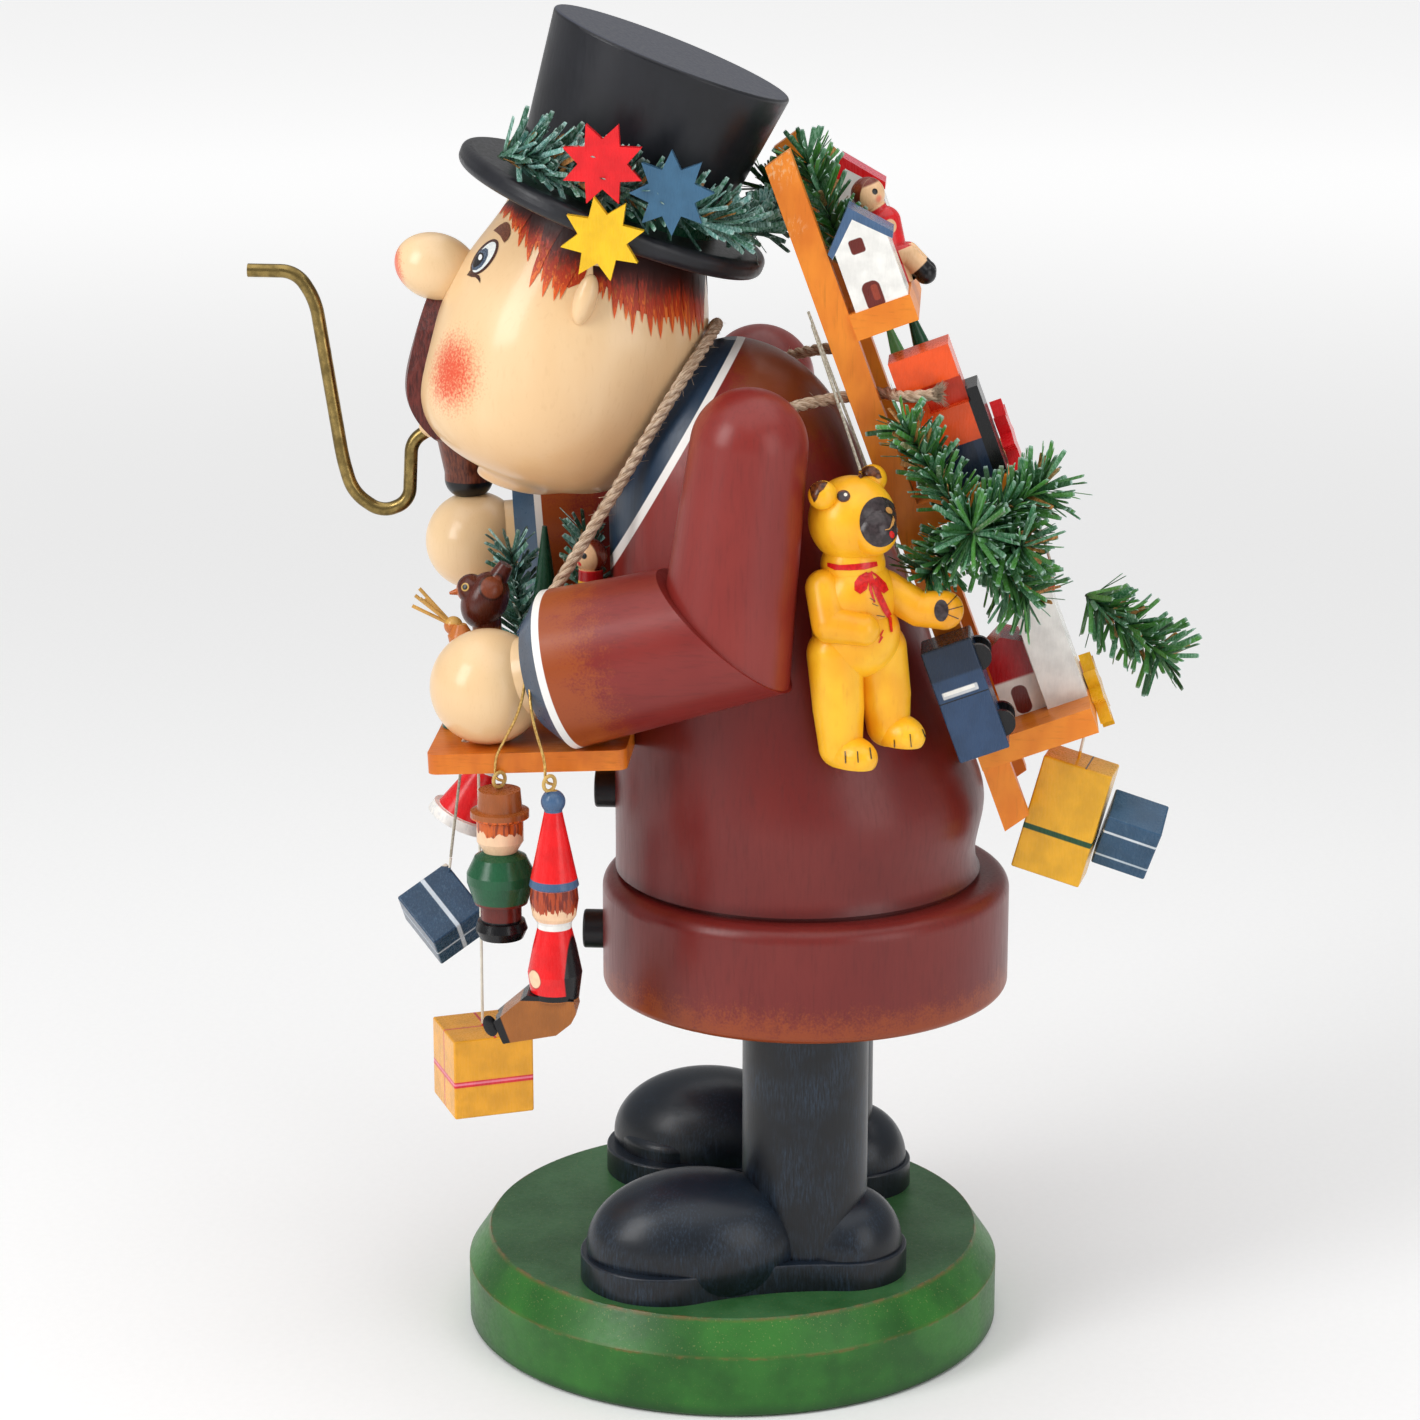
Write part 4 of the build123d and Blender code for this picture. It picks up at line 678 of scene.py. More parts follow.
def church_regions(paint):
    x, back, up = rack_axes(paint)
    tower = both(paint, above(paint, back, 19.0), gable_roof(paint, back, up, (20.0, 51.0), (25.1, 57.0)))
    # Painted shade: the nave's roof is deep red, the red roof as it looks in shadow
    nave = both(paint, below(paint, back, 20.0), gable_roof(paint, back, up, (9.5, 40.0), (14.8, 43.0)))
    nave = both(paint, nave, above(paint, up, 36.0))
    side = above(paint, x, 8.9, 0.05)
    door = both(paint, below(paint, back, 18.9), side, patch(paint, back, up, (14.6, 26.6), (2.0, 3.6), 1.7))
    # Painted shade: the nave's front above 32 mm is deep red too, where it lies in shadow
    front = both(paint, below(paint, back, 19.6, 0.1), above(paint, up, 32.0, 0.4))
    return (front, DEEP_RED), (tower, RED), (nave, DEEP_RED), (door, DOOR_BROWN)


def wagon_regions(paint):
    x, back, up = rack_axes(paint)
    base = below(paint, up, 93.4)
    groove = both(paint, stripe(paint, up, 105.9, 3.3), below(paint, x, 18.6))
    strip = above(paint, back, 27.45, 0.05)
    wheel_side = both(paint, base, above(paint, x, 21.9, 0.04), stripe(paint, back, 20.0, 5.2))
    return (
        (groove, srgb(214, 62, 24)), (base, srgb(38, 54, 80)), (wheel_side, srgb(30, 42, 62)), (strip, BLACK),
    )


def truck_regions(paint):
    lean = math.radians(20.3)
    middle = (31.2, 57.1, 172.0)
    behind = (0, math.cos(lean), math.sin(lean))
    upwards = (0, -math.sin(lean), math.cos(lean))
    u, v, w = paint.frame(middle, (1, 0, 0), behind, upwards)
    side = above(paint, u, 6.2, 0.04)
    label = both(paint, side, patch(paint, v, w, (-0.3, 2.6), (4.4, 0.85), 0.25))
    seam = both(paint, side, stripe(paint, w, 0.9, 0.14, 0.06))
    pale = both(paint, side, patch(paint, v, w, (-0.5, 2.9), (3.9, 0.45), 0.2))
    top = above(paint, w, 13.9, 0.05)
    cab = above(paint, w, 6.4, 0.4)
    wheels = above(paint, v, 6.3, 0.05)
    return (
        (cab, srgb(28, 44, 66)), (seam, BLACK), (label, srgb(196, 200, 204)), (pale, TOY_WHITE),
        (top, srgb(58, 66, 78)), (wheels, BLACK),
    )


def doll_regions(paint):
    back, up = rack_axes(paint)[1:]
    centre = rack_place(0.5, 20.0, 154.2)
    head = both(paint, above(paint, up, 150.2), ball_mask(paint, centre, 4.6))
    face = both(paint, head, above(paint, paint.along((0.55, 0.83, -0.1), centre), 0.6, 0.15))
    fringe = both(paint, face, above(paint, up, 156.4, 0.3))
    shine = both(paint, head, ball_mask(paint, rack_place(2.9, 18.2, 156.6), 1.0, 0.6))
    eye = ball_mask(paint, rack_place(3.9, 22.0, 154.6), 0.75)
    cheek = ball_mask(paint, rack_place(3.8, 22.6, 152.4), 1.0, 0.5)
    knees = both(paint, above(paint, back, 22.6), below(paint, up, 139.6))
    feet = paint.math("MAXIMUM", ball_mask(paint, rack_place(2.9, 26.8, 132.0), 3.3),
                      ball_mask(paint, rack_place(-1.9, 26.8, 132.0), 3.3))
    arm = ball_mask(paint, rack_place(4.4, 22.8, 145.6), 1.7)
    apron = both(paint, above(paint, back, 21.4), stripe(paint, up, 144.6, 3.4, 0.2))
    return (
        (apron, RED), (head, HAIR_BROWN), (shine, srgb(150, 70, 44)), (face, FACE), (fringe, HAIR_BROWN),
        (cheek, srgb(232, 130, 96)), (eye, BLACK), (knees, FACE), (arm, FACE), (feet, BLACK),
    )


def star_regions(paint):
    lower_star = below(paint, rack_axes(paint)[2], 50.0)
    return ((lower_star, YELLOW),)


def tree_regions(paint):
    far_tree = below(paint, paint.xyz()[0], -7.0)
    return ((far_tree, DARK_GREEN),)


def tray_doll_regions(paint):
    z = paint.xyz()[2]
    foot = Vector((10.5, -34.2, 159.6))
    head_centre = foot + Vector((0, 0, 40.3))
    head = ball_mask(paint, head_centre, 4.5)
    face_side = paint.along((0.72, -0.66, -0.12), head_centre)
    hair = both(paint, head, below(paint, face_side, 1.3, 0.25))
    eye = ball_mask(paint, head_centre + Vector((3.9, -1.2, 0.6)), 0.75)
    other_eye = ball_mask(paint, head_centre + Vector((2.0, -3.5, 0.6)), 0.7)
    mouth = ball_mask(paint, head_centre + Vector((3.0, -2.6, -1.7)), 0.7)
    scarf = stripe(paint, z, foot.z + 35.4, 1.1)
    chest = above(paint, paint.along((0.8, -0.6, 0), foot), 1.0)
    bib = both(paint, stripe(paint, z, foot.z + 30.0, 4.2), chest)
    return (
        (bib, YELLOW), (scarf, DEEP_RED), (head, FACE), (hair, HAIR_BROWN), (eye, BLACK), (other_eye, BLACK),
        (mouth, RED),
    )


def bird_regions(paint):
    head = Vector((12.0, -63.2, 191.4))
    beak = ball_mask(paint, (12.0, -68.0, 190.3), 2.9, 0.5)
    wing_middle = (17.2, -57.2, 193.6)
    wing = ball_mask(paint, wing_middle, 3.4, 0.3)
    wing_line = ball_mask(paint, wing_middle, 3.9, 0.2)
    eye_middle = head + Vector((3.3, -1.2, 1.2))
    eye_ring = ball_mask(paint, eye_middle, 1.05)
    eye = ball_mask(paint, eye_middle, 0.7)
    stump = below(paint, paint.xyz()[2], 182.4, 0.4)
    return (
        (wing_line, srgb(52, 24, 18)), (wing, srgb(128, 62, 36)), (beak, srgb(196, 104, 48)),
        (eye_ring, GOLD), (eye, BLACK), (stump, srgb(150, 92, 44)),
    )


def tray_house_regions(paint):
    x, y, z = paint.xyz()
    middle_y = -45.0
    roof = gable_roof(paint, y, z, (middle_y - 5.5, 181.0), (middle_y, 187.4))
    face = above(paint, x, 14.9, 0.04)
    window = both(paint, face, patch(paint, y, z, (middle_y, 178.4), (1.6, 1.6), 0.6))
    door = both(paint, face, patch(paint, y, z, (middle_y, 163.2), (1.9, 3.2), 1.4))
    return (window, DOOR_BROWN), (door, DOOR_BROWN), (roof, SLATE)


def tray_toy_regions(paint):
    z = paint.xyz()[2]
    foot = below(paint, z, 166.4)
    low_spot = ball_mask(paint, (23.8, -67.0, 171.6), 1.5)
    high_spot = ball_mask(paint, (22.4, -68.6, 178.0), 1.3)
    spots = paint.math("MAXIMUM", low_spot, high_spot)
    neck = above(paint, z, 178.8)
    straw = above(paint, z, 184.4)
    return (spots, TOY_BLUE), (foot, DARK_GREEN), (neck, srgb(190, 110, 48)), (straw, srgb(206, 160, 84))


def green_figure_regions(paint):
    z = paint.xyz()[2]
    eye_z = 153.4
    hair_edge = paint.roughened(z, paint.noise(1.6, (1, 1, 6), 1.0), 5.0)
    hat = above(paint, z, eye_z - 8.7)
    hair = above(paint, hair_edge, eye_z - 12.6)
    face = above(paint, z, eye_z - 17.6)
    trousers = below(paint, z, eye_z - 29.7)
    shoes = below(paint, z, eye_z - 34.3)
    dark = both(paint, hair, paint.ramp(paint.noise(0.9, (1, 1, 7), 2.0), 0.5, 0.6))
    wire_eye = above(paint, z, eye_z - 1.9)
    return (
        (face, srgb(244, 206, 168)), (hair, srgb(206, 96, 34)), (dark, srgb(140, 60, 26)),
        (hat, srgb(158, 86, 40)), (trousers, srgb(104, 36, 28)), (shoes, BLACK), (wire_eye, GOLD),
    )


def puppet_regions(paint):
    z = paint.xyz()[2]
    eye_z = 156.0
    axis_place = (58.0, -40.56, 0.0)
    depth = paint.math("SUBTRACT", eye_z, z)
    behind = paint.along((0.3, 0.95, 0.0), axis_place)
    pompom = below(paint, depth, 7.0)
    hem = stripe(paint, depth, 24.3, 1.05)
    strands = paint.noise(0.8, (1, 1, 8), 2.0)
    hair_depth = paint.roughened(depth, strands, 7.0)
    head = both(paint, above(paint, depth, 25.4), below(paint, depth, 33.4))
    hair = both(paint, head, below(paint, hair_depth, 30.4))
    streaks = both(paint, hair, paint.ramp(strands, 0.48, 0.56))
    collar = stripe(paint, depth, 34.4, 1.0)
    back = both(paint, above(paint, depth, 36.0), above(paint, behind, 6.1, 0.15))
    hand_middle = (62.6, -43.6, 108.8)
    hand = ball_mask(paint, hand_middle, 2.2, 0.2)
    hand_line = ball_mask(paint, hand_middle, 2.45, 0.15)
    coat_foot = stripe(paint, depth, 51.8, 0.75)
    legs = above(paint, depth, 52.5)
    shoe = both(paint, legs, below(paint, paint.along((0.0, 0.94, 0.34), (0, -49.6, 94.2)), 0.0, 0.15))
    wire_eye = above(paint, z, eye_z - 1.9)
    skin = srgb(244, 204, 166)
    return (
        (pompom, SLATE), (hem, SLATE), (head, skin), (hair, srgb(176, 70, 34)), (streaks, srgb(120, 40, 26)),
        (collar, TOY_WHITE), (back, BLACK), (hand_line, DEEP_RED), (hand, skin), (coat_foot, BLACK),
        (legs, srgb(156, 92, 36)), (shoe, BLACK), (wire_eye, GOLD),
    )


def box_axes(paint, place, turn):
    """Coordinates along the edges of a box turned about x, then y, then z."""
    rows = Euler([math.radians(a) for a in turn], "XYZ").to_matrix().transposed()
    return paint.frame(place, rows[0], rows[1], rows[2])


def front_yellow_regions(paint):
    u, v, w = box_axes(paint, (33.0, -59.5, 76.6), (0.0, 0.0, 22.6))
    ring = stripe(paint, w, -1.2, 0.75, 0.12)
    ring_heart = stripe(paint, w, -1.1, 0.25, 0.15)
    upright = stripe(paint, u, 0.5, 0.3, 0.1)
    cross = stripe(paint, v, 0.5, 0.3, 0.1)
    top_cross = both(paint, above(paint, w, 9.9, 0.05), cross)
    thread = above(paint, w, 10.5, 0.1)
    ribbon = srgb(206, 44, 70)
    return (
        (upright, ribbon), (top_cross, ribbon), (ring, srgb(214, 30, 50)), (ring_heart, srgb(240, 130, 150)),
        (thread, THREAD_CREAM),
    )


def front_blue_regions(paint):
    u, _, w = box_axes(paint, (20.0, -70.4, 110.8), (-41.9, 29.7, -62.6))
    grain = paint.ramp(paint.noise(0.35, (12, 1, 1), 3.0, 0.6), 0.5, 0.66, 0.0, 0.35)
    wide_band = stripe(paint, u, 0.0, 0.55)
    narrow_band = stripe(paint, w, 0.0, 0.4)
    thread = above(paint, paint.xyz()[2], 122.8, 0.1)
    return (
        (grain, srgb(92, 122, 146)), (wide_band, srgb(206, 218, 228)), (narrow_band, srgb(196, 210, 222)),
        (thread, THREAD_CREAM),
    )


def back_parcel_regions(paint):
    blue_axes = box_axes(paint, (10.0, 98.1, 131.6), (-19.0, 23.8, -12.3))
    blue_halves = (5.85, 7.05, 8.1)
    within = [
        below(paint, paint.math("ABSOLUTE", axis), half, 0.03)
        for axis, half in zip(blue_axes, blue_halves)
    ]
    inside = both(paint, *within)
    w = blue_axes[2]
    _, b, c = box_axes(paint, (10.0, 82.2, 136.2), (-14.8, -1.2, -10.5))
    yellow_ring = stripe(paint, c, -3.6, 0.7)
    top_line = both(paint, stripe(paint, b, 2.0, 0.18), above(paint, c, 14.6, 0.05))
    blue_ring = both(paint, inside, stripe(paint, w, 3.2, 0.35))
    blue_foot = both(paint, inside, stripe(paint, w, -4.4, 0.3))
    wear = both(paint, inside, paint.ramp(paint.noise(1.2, (1, 1, 5), 4.0, 0.7), 0.55, 0.75, 0.0, 0.4))
    thread = both(paint, above(paint, paint.xyz()[2], 152.6, 0.1), ball_mask(paint, (10.0, 86.4, 157.0), 6.0))
    return (
        (yellow_ring, DARK_GREEN), (top_line, srgb(50, 70, 80)), (inside, srgb(50, 82, 110)),
        (wear, srgb(96, 124, 146)), (blue_ring, srgb(214, 222, 228)), (blue_foot, srgb(190, 204, 214)),
        (thread, THREAD_CREAM),
    )


def ornament_regions(paint):
    top = Vector((-8.0, -62.6, 141.5))
    foot = Vector((-8.0, -70.0, 126.6))
    run = foot - top
    down = paint.along(run.normalized(), top)
    trim = above(paint, down, run.length - 2.7)
    head = below(paint, down, 1.5)
    streaks = both(paint, trim, paint.ramp(paint.noise(0.8, (1, 1, 3), 3.0), 0.5, 0.65, 0.0, 0.4))
    thread = above(paint, paint.xyz()[2], 146.2, 0.1)
    return (trim, TOY_WHITE), (head, TOY_WHITE), (streaks, srgb(196, 200, 206)), (thread, THREAD_CREAM)


def plain(name, colour, **finish):
    """Lacquer of one colour."""
    return painted_regions(name, colour, lambda paint: (), **finish)


def stained_wood(name, colour, dark, grain_turn=(0, 0, 0), stretch=(1, 1, 9), glue=()):
    """Orange stained softwood with dark grain, soft blotches and shiny patches where glue ran."""
    paint = Paint(name, colour, 0.36, 0.25, 0.2)
    grain = paint.noise(0.8, stretch, 5.0, 0.65, grain_turn, 0.4)
    cloud = paint.noise(7.0, (1, 1, 2), 3.0)
    tone = paint.mix(paint.ramp(cloud, 0.3, 0.72), colour, dark)
    tone = paint.mix(paint.ramp(grain, 0.52, 0.78, 0.0, 0.4), tone, dimmed(dark, 0.5))
    rough = paint.ramp(grain, 0.2, 0.8, 0.3, 0.5)
    flakes = paint.ramp(paint.noise(0.9, (1, 1, 2), 4.0, 0.7), 0.5, 0.62)
    for place, radius in glue:
        smear = paint.math("MULTIPLY", ball_mask(paint, place, radius, radius * 0.45), flakes)
        tone = paint.mix(paint.math("MULTIPLY", smear, 0.45), tone, srgb(236, 206, 160))
        rough = paint.math("SUBTRACT", rough, paint.math("MULTIPLY", smear, 0.22))
    paint.colour(tone)
    paint.rough(rough)
    paint.bump(grain, 0.06)
    return paint.material


def satin_black(name, colour, grain=(1, 1, 1), painted_top_light=False):
    """Black satin paint, faintly brushed, with a bloom of painted light on what faces up."""
    paint = Paint(name, colour, 0.34, 0.2, 0.3)
    brush = paint.noise(1.0, grain, 4.0, 0.6)
    cloud = paint.noise(12.0, (1, 1, 1), 3.0)
    tone = paint.mix(paint.ramp(cloud, 0.3, 0.7), colour, dimmed(colour, 1.5))
    if painted_top_light:
        # Painted light: faces that look up are lifted to blue-grey, broken by the brush marks
        bloom = paint.math("MULTIPLY", upward(paint, 0.7, 0.9), paint.ramp(brush, 0.2, 0.8, 0.6, 1.0))
        tone = paint.mix(paint.math("MULTIPLY", bloom, 0.8), tone, srgb(66, 70, 86))
    paint.colour(tone)
    paint.rough(paint.ramp(brush, 0.2, 0.8, 0.3, 0.44))
    paint.bump(brush, 0.025)
    return paint.material


def brass_wire(name, colour=srgb(150, 128, 78)):
    """Drawn brass, a little tarnished."""
    paint = Paint(name, colour, 0.28, metal=1.0)
    tarnish = paint.noise(3.0, (1, 1, 1), 4.0, 0.6)
    draw = paint.noise(0.4, (1, 6, 6), 3.0)
    tone = paint.mix(paint.ramp(tarnish, 0.35, 0.7), colour, dimmed(colour, 0.55))
    paint.colour(tone)
    paint.rough(paint.ramp(tarnish, 0.3, 0.7, 0.2, 0.42))
    paint.bump(draw, 0.02)
    return paint.material


def walnut(name, colour, dark, stretch):
    """Dark maroon-brown stain over carved, grooved wood."""
    paint = Paint(name, colour, 0.34, 0.25, 0.2)
    grain = paint.noise(0.7, stretch, 5.0, 0.65)
    tone = paint.mix(paint.ramp(grain, 0.3, 0.7), dark, colour)
    paint.colour(tone)
    paint.rough(paint.ramp(grain, 0.2, 0.8, 0.28, 0.45))
    paint.bump(grain, 0.25)
    return paint.material


BOWL_FOOT_Z = 208.4


def bowl_finish():
    """Pipe bowl: brown wood above a black foot."""
    paint = Paint("bowl_brown", srgb(96, 44, 28), 0.3, 0.3, 0.15)
    grain = paint.noise(0.6, (1, 1, 5), 4.0, 0.6)
    z = paint.xyz()[2]
    tone = paint.mix(paint.ramp(grain, 0.3, 0.7), srgb(70, 30, 20), srgb(120, 60, 36))
    tone = paint.mix(below(paint, z, BOWL_FOOT_Z, 0.15), tone, srgb(14, 13, 15))
    paint.colour(tone)
    paint.bump(grain, 0.05)
    return paint.material


BEAR_NECK_Z = 196


def bear_finish():
    """Carved bear: golden stain with painted shade, in orange, under the head, over a faint vertical grain.
    """
    paint = Paint("bear_yellow", srgb(240, 168, 30), 0.34, 0.6, 0.2)
    grain = paint.noise(1.0, (1, 1, 5), 4.0, 0.6)
    cloud = paint.noise(9.0, (1, 1, 1), 3.0)
    tone = paint.mix(paint.ramp(cloud, 0.3, 0.72), srgb(255, 194, 40), srgb(246, 172, 22))
    tone = paint.mix(paint.ramp(grain, 0.55, 0.75, 0.0, 0.3), tone, srgb(222, 138, 12))
    z = paint.xyz()[2]
    # Painted shade: orange in a band under the head
    from_above = paint.ramp(z, BEAR_NECK_Z + 10, BEAR_NECK_Z, 0.0, 0.35)
    shade = both(paint, from_above, paint.ramp(z, BEAR_NECK_Z - 10, BEAR_NECK_Z))
    tone = paint.mix(shade, tone, srgb(206, 112, 12))
    paint.colour(tone)
    paint.rough(paint.ramp(grain, 0.2, 0.8, 0.28, 0.42))
    paint.bump(grain, 0.05)
    return paint.material


def jute_finish():
    """Twisted jute: fibres run along each strand, pale on the crowns and dark in the lay."""
    paint = Paint("jute_rope", srgb(196, 168, 138), 0.85, specular=0.2)
    along = paint.attribute("along")
    around = paint.attribute("around")
    place = paint.nodes.new("ShaderNodeCombineXYZ")
    paint.link(paint.math("MULTIPLY", along, 0.25), place.inputs[0])
    paint.link(paint.math("MULTIPLY", around, 3.5), place.inputs[1])
    fibre = paint.nodes.new("ShaderNodeTexNoise")
    fibre.inputs["Scale"].default_value = 2.2
    fibre.inputs["Detail"].default_value = 5.0
    paint.link(place.outputs[0], fibre.inputs["Vector"])
    lines = fibre.outputs["Fac"]
    cloud = paint.noise(6.0, (1, 1, 1), 3.0)
    tone = paint.mix(paint.ramp(lines, 0.32, 0.68), srgb(156, 126, 100), srgb(228, 208, 184))
    tone = paint.mix(paint.ramp(cloud, 0.4, 0.7, 0.0, 0.4), tone, srgb(176, 146, 118))
    paint.colour(tone)
    paint.bump(lines, 0.25)
    return paint.material


TAN_FROM = 0.93


def needle_finish(name, deep, fresh, teal, frost_colour, frost_share):
    """Flat evergreen needles: green with frosted streaks and pale cut tips, and a few tan scales."""
    paint = Paint(name, fresh, 0.42)
    tone_share = paint.attribute("tone")
    along = paint.attribute("along")
    grain = paint.noise(0.5, (1, 1, 4), 4.0, 0.7)
    green = paint.mix(paint.ramp(tone_share, 0.0, 0.5), deep, fresh)
    green = paint.mix(paint.ramp(tone_share, 0.5, 0.65), green, teal)
    uneven = paint.ramp(tone_share, 0.2, 0.8, 0.25, 0.9)
    frost = both(paint, paint.ramp(grain, 0.44, 0.6), uneven, frost_share)
    green = paint.mix(frost, green, frost_colour)
    tip = paint.ramp(along, 0.93, 1.0, 0.0, 0.6)
    green = paint.mix(tip, green, srgb(186, 214, 206))
    root = paint.ramp(along, 0.3, 0.0, 0.0, 0.6)
    green = paint.mix(root, green, srgb(14, 36, 22))
    brown = paint.mix(paint.ramp(grain, 0.35, 0.65), srgb(120, 76, 36), srgb(196, 144, 82))
    paint.colour(paint.mix(above(paint, tone_share, TAN_FROM, 0.01), green, brown))
    paint.rough(paint.ramp(grain, 0.3, 0.7, 0.34, 0.6))
    paint.bump(grain, 0.05)
    return paint.material


def wire_finish():
    """Cream thread behind, gilt wire at the tray."""
    paint = Paint("thread_and_wire", srgb(206, 200, 186), 0.5, specular=0.4)
    x, y = paint.xyz()[:2]
    twist = paint.noise(0.4, (1, 1, 1.5), 3.0)
    thread = paint.mix(paint.ramp(twist, 0.3, 0.7), srgb(138, 130, 112), srgb(192, 186, 170))
    wire = paint.mix(paint.ramp(twist, 0.3, 0.7), srgb(176, 132, 62), srgb(226, 190, 116))
    front = both(paint, below(paint, y, -30.0), above(paint, x, 40.0))
    paint.colour(paint.mix(front, thread, wire))
    paint.link(paint.math("MULTIPLY", front, 0.75), paint.shader.inputs["Metallic"])
    paint.rough(paint.ramp(front, 0, 1, 0.6, 0.3))
    paint.bump(twist, 0.04)
    return paint.material


def hair_finish():
    """Painted hair: near black at the brim, red-brown, then orange at the tips, in brushed streaks."""
    paint = Paint("painted_hair", srgb(120, 34, 14), 0.42, 0.1, 0.3)
    share = paint.attribute("tone")
    streak = paint.noise(0.6, (1, 1, 26), 3.0, 0.5)
    wander = paint.roughened(share, streak, 0.9)
    tone = paint.mix(paint.ramp(wander, 0.0, 0.35), srgb(228, 92, 26), srgb(176, 48, 14))
    tone = paint.mix(paint.ramp(wander, 0.34, 0.72), tone, srgb(92, 24, 12))
    tone = paint.mix(paint.ramp(share, 0.55, 0.9), tone, srgb(44, 14, 10))
    bright = paint.ramp(streak, 0.5, 0.62, 0.0, 0.85)
    tone = paint.mix(both(paint, bright, below(paint, share, 0.42, 0.25)), tone, srgb(240, 124, 44))
    paint.colour(tone)
    paint.rough(paint.ramp(streak, 0.2, 0.8, 0.36, 0.5))
    paint.bump(streak, 0.03)
    return paint.material


def face_paint(name, colour, other, size=0.5):
    """Glossy brushed paint between two near colours."""
    paint = Paint(name, colour, 0.25, 0.4, 0.1)
    specks = paint.noise(size, (1, 1, 1), 3.0)
    paint.colour(paint.mix(paint.ramp(specks, 0.35, 0.65), colour, other))
    paint.bump(specks, 0.015)
    return paint.material


# Ropes and threads: routes in mm, as the solids have them
NECK_ROPE = (
    (34.0, -63.2, 156.5), (29.6, -45.2, 189.0), (24.8, -25.0, 221.4), (24.6, -17.2, 235.0),
    (21.5, -10.8, 245.4), (8.0, -4.2, 254.8), (-8.0, -4.2, 254.8), (-21.5, -10.8, 245.4),
    (-24.4, -16.7, 235.0), (-23.4, -24.0, 221.0), (-19.6, -42.8, 190.0), (-17.5, -62.0, 156.5),
)
LEFT_SHOULDER_ROPE = (
    (36.0, 9.0, 237.5), (26.0, 12.5, 239.4), (15.0, 28.0, 240.6), (14.2, 37.8, 241.6), (25.4, 41.5, 242.0),
    (25.4, 49.5, 243.2),
)
RIGHT_SHOULDER_ROPE = ((-36.0, 9.0, 240.0), (-25.0, 13.6, 244.7), (-20.0, 26.5, 246.4))
ROPE_RADIUS = 1.45
ROPE_LAY = 9.0
STRANDS = 3
STRAND_OFFSET = 0.72
STRAND_RADIUS = 0.80
FIBRES_PER_MM = 1.6
FRAYED_FIBRES = 150


def route_points(route, step=0.6):
    """Even points in metres along the smooth line that a route's points draw."""
    curve = bpy.data.curves.new("route", "CURVE")
    curve.dimensions = "3D"
    curve.resolution_u = 24
    spline = curve.splines.new("NURBS")
    spline.points.add(len(route) - 1)
    for point, place in zip(spline.points, route):
        point.co = (*[c * MM for c in place], 1.0)
    spline.order_u = 3
    spline.use_endpoint_u = True
    holder = bpy.data.objects.new("route", curve)
    line = bpy.data.meshes.new_from_object(holder)
    raw = [v.co.copy() for v in line.vertices]
    bpy.data.objects.remove(holder)
    bpy.data.curves.remove(curve)
    bpy.data.meshes.remove(line)
    runs = [0.0]
    for a, b in zip(raw, raw[1:]):
        runs.append(runs[-1] + (b - a).length)
    count = max(2, int(round(runs[-1] / (step * MM))))
    points = []
    k = 0
    for i in range(count + 1):
        goal = runs[-1] * i / count
        while k < len(raw) - 2 and runs[k + 1] < goal:
            k += 1
        span = max(runs[k + 1] - runs[k], 1e-12)
        points.append(raw[k].lerp(raw[k + 1], (goal - runs[k]) / span))
    return points, runs[-1]


def travelling_frames(points):
    """A pair of sideways directions at each point that doesn't twist along the line."""
    frames = []
    side = None
    for i in range(len(points)):
        ahead = points[min(i + 1, len(points) - 1)] - points[max(i - 1, 0)]
        ahead.normalize()
        if side is None:
            side = ahead.orthogonal().normalized()
        side = (side - ahead * side.dot(ahead)).normalized()
        frames.append((side.copy(), ahead.cross(side)))
    return frames


def sideways(frame_at, angle):
    """A direction square to a line, turned round it by an angle."""
    a, b = frame_at
    return a * math.cos(angle) + b * math.sin(angle)


def add_tube(mesh, points, radii, sides, layers=None):
    """A closed tube through points, in a bmesh, with its length and turn written beside each vertex."""
    frames = travelling_frames(points)
    rings = []
    run = 0.0
    for i, point in enumerate(points):
        if i:
            run += (point - points[i - 1]).length
        ring = []
        for j in range(sides):
            vert = mesh.verts.new(point + sideways(frames[i], 2 * math.pi * j / sides) * radii[i])
            if layers:
                vert[layers[0]] = run / MM
                vert[layers[1]] = abs(2 * j / sides - 1)
            ring.append(vert)
        rings.append(ring)
    for low, high in zip(rings, rings[1:]):
        for j in range(sides):
            k = (j + 1) % sides
            mesh.faces.new((low[j], low[k], high[k], high[j]))
    mesh.faces.new(rings[0][::-1])
    mesh.faces.new(rings[-1])


def tube_layers(mesh):
    """The two numbers that a tube writes on its vertices: mm along it, and share of the way round it."""
    return mesh.verts.layers.float.new("along"), mesh.verts.layers.float.new("around")


def as_piece(name, mesh, finish):
    """A bmesh turned into a smooth piece of the figure, and freed."""
    data = bpy.data.meshes.new(name)
    mesh.to_mesh(data)
    mesh.free()
    smooth(data)
    return new_piece(name, data, finish, "figure")


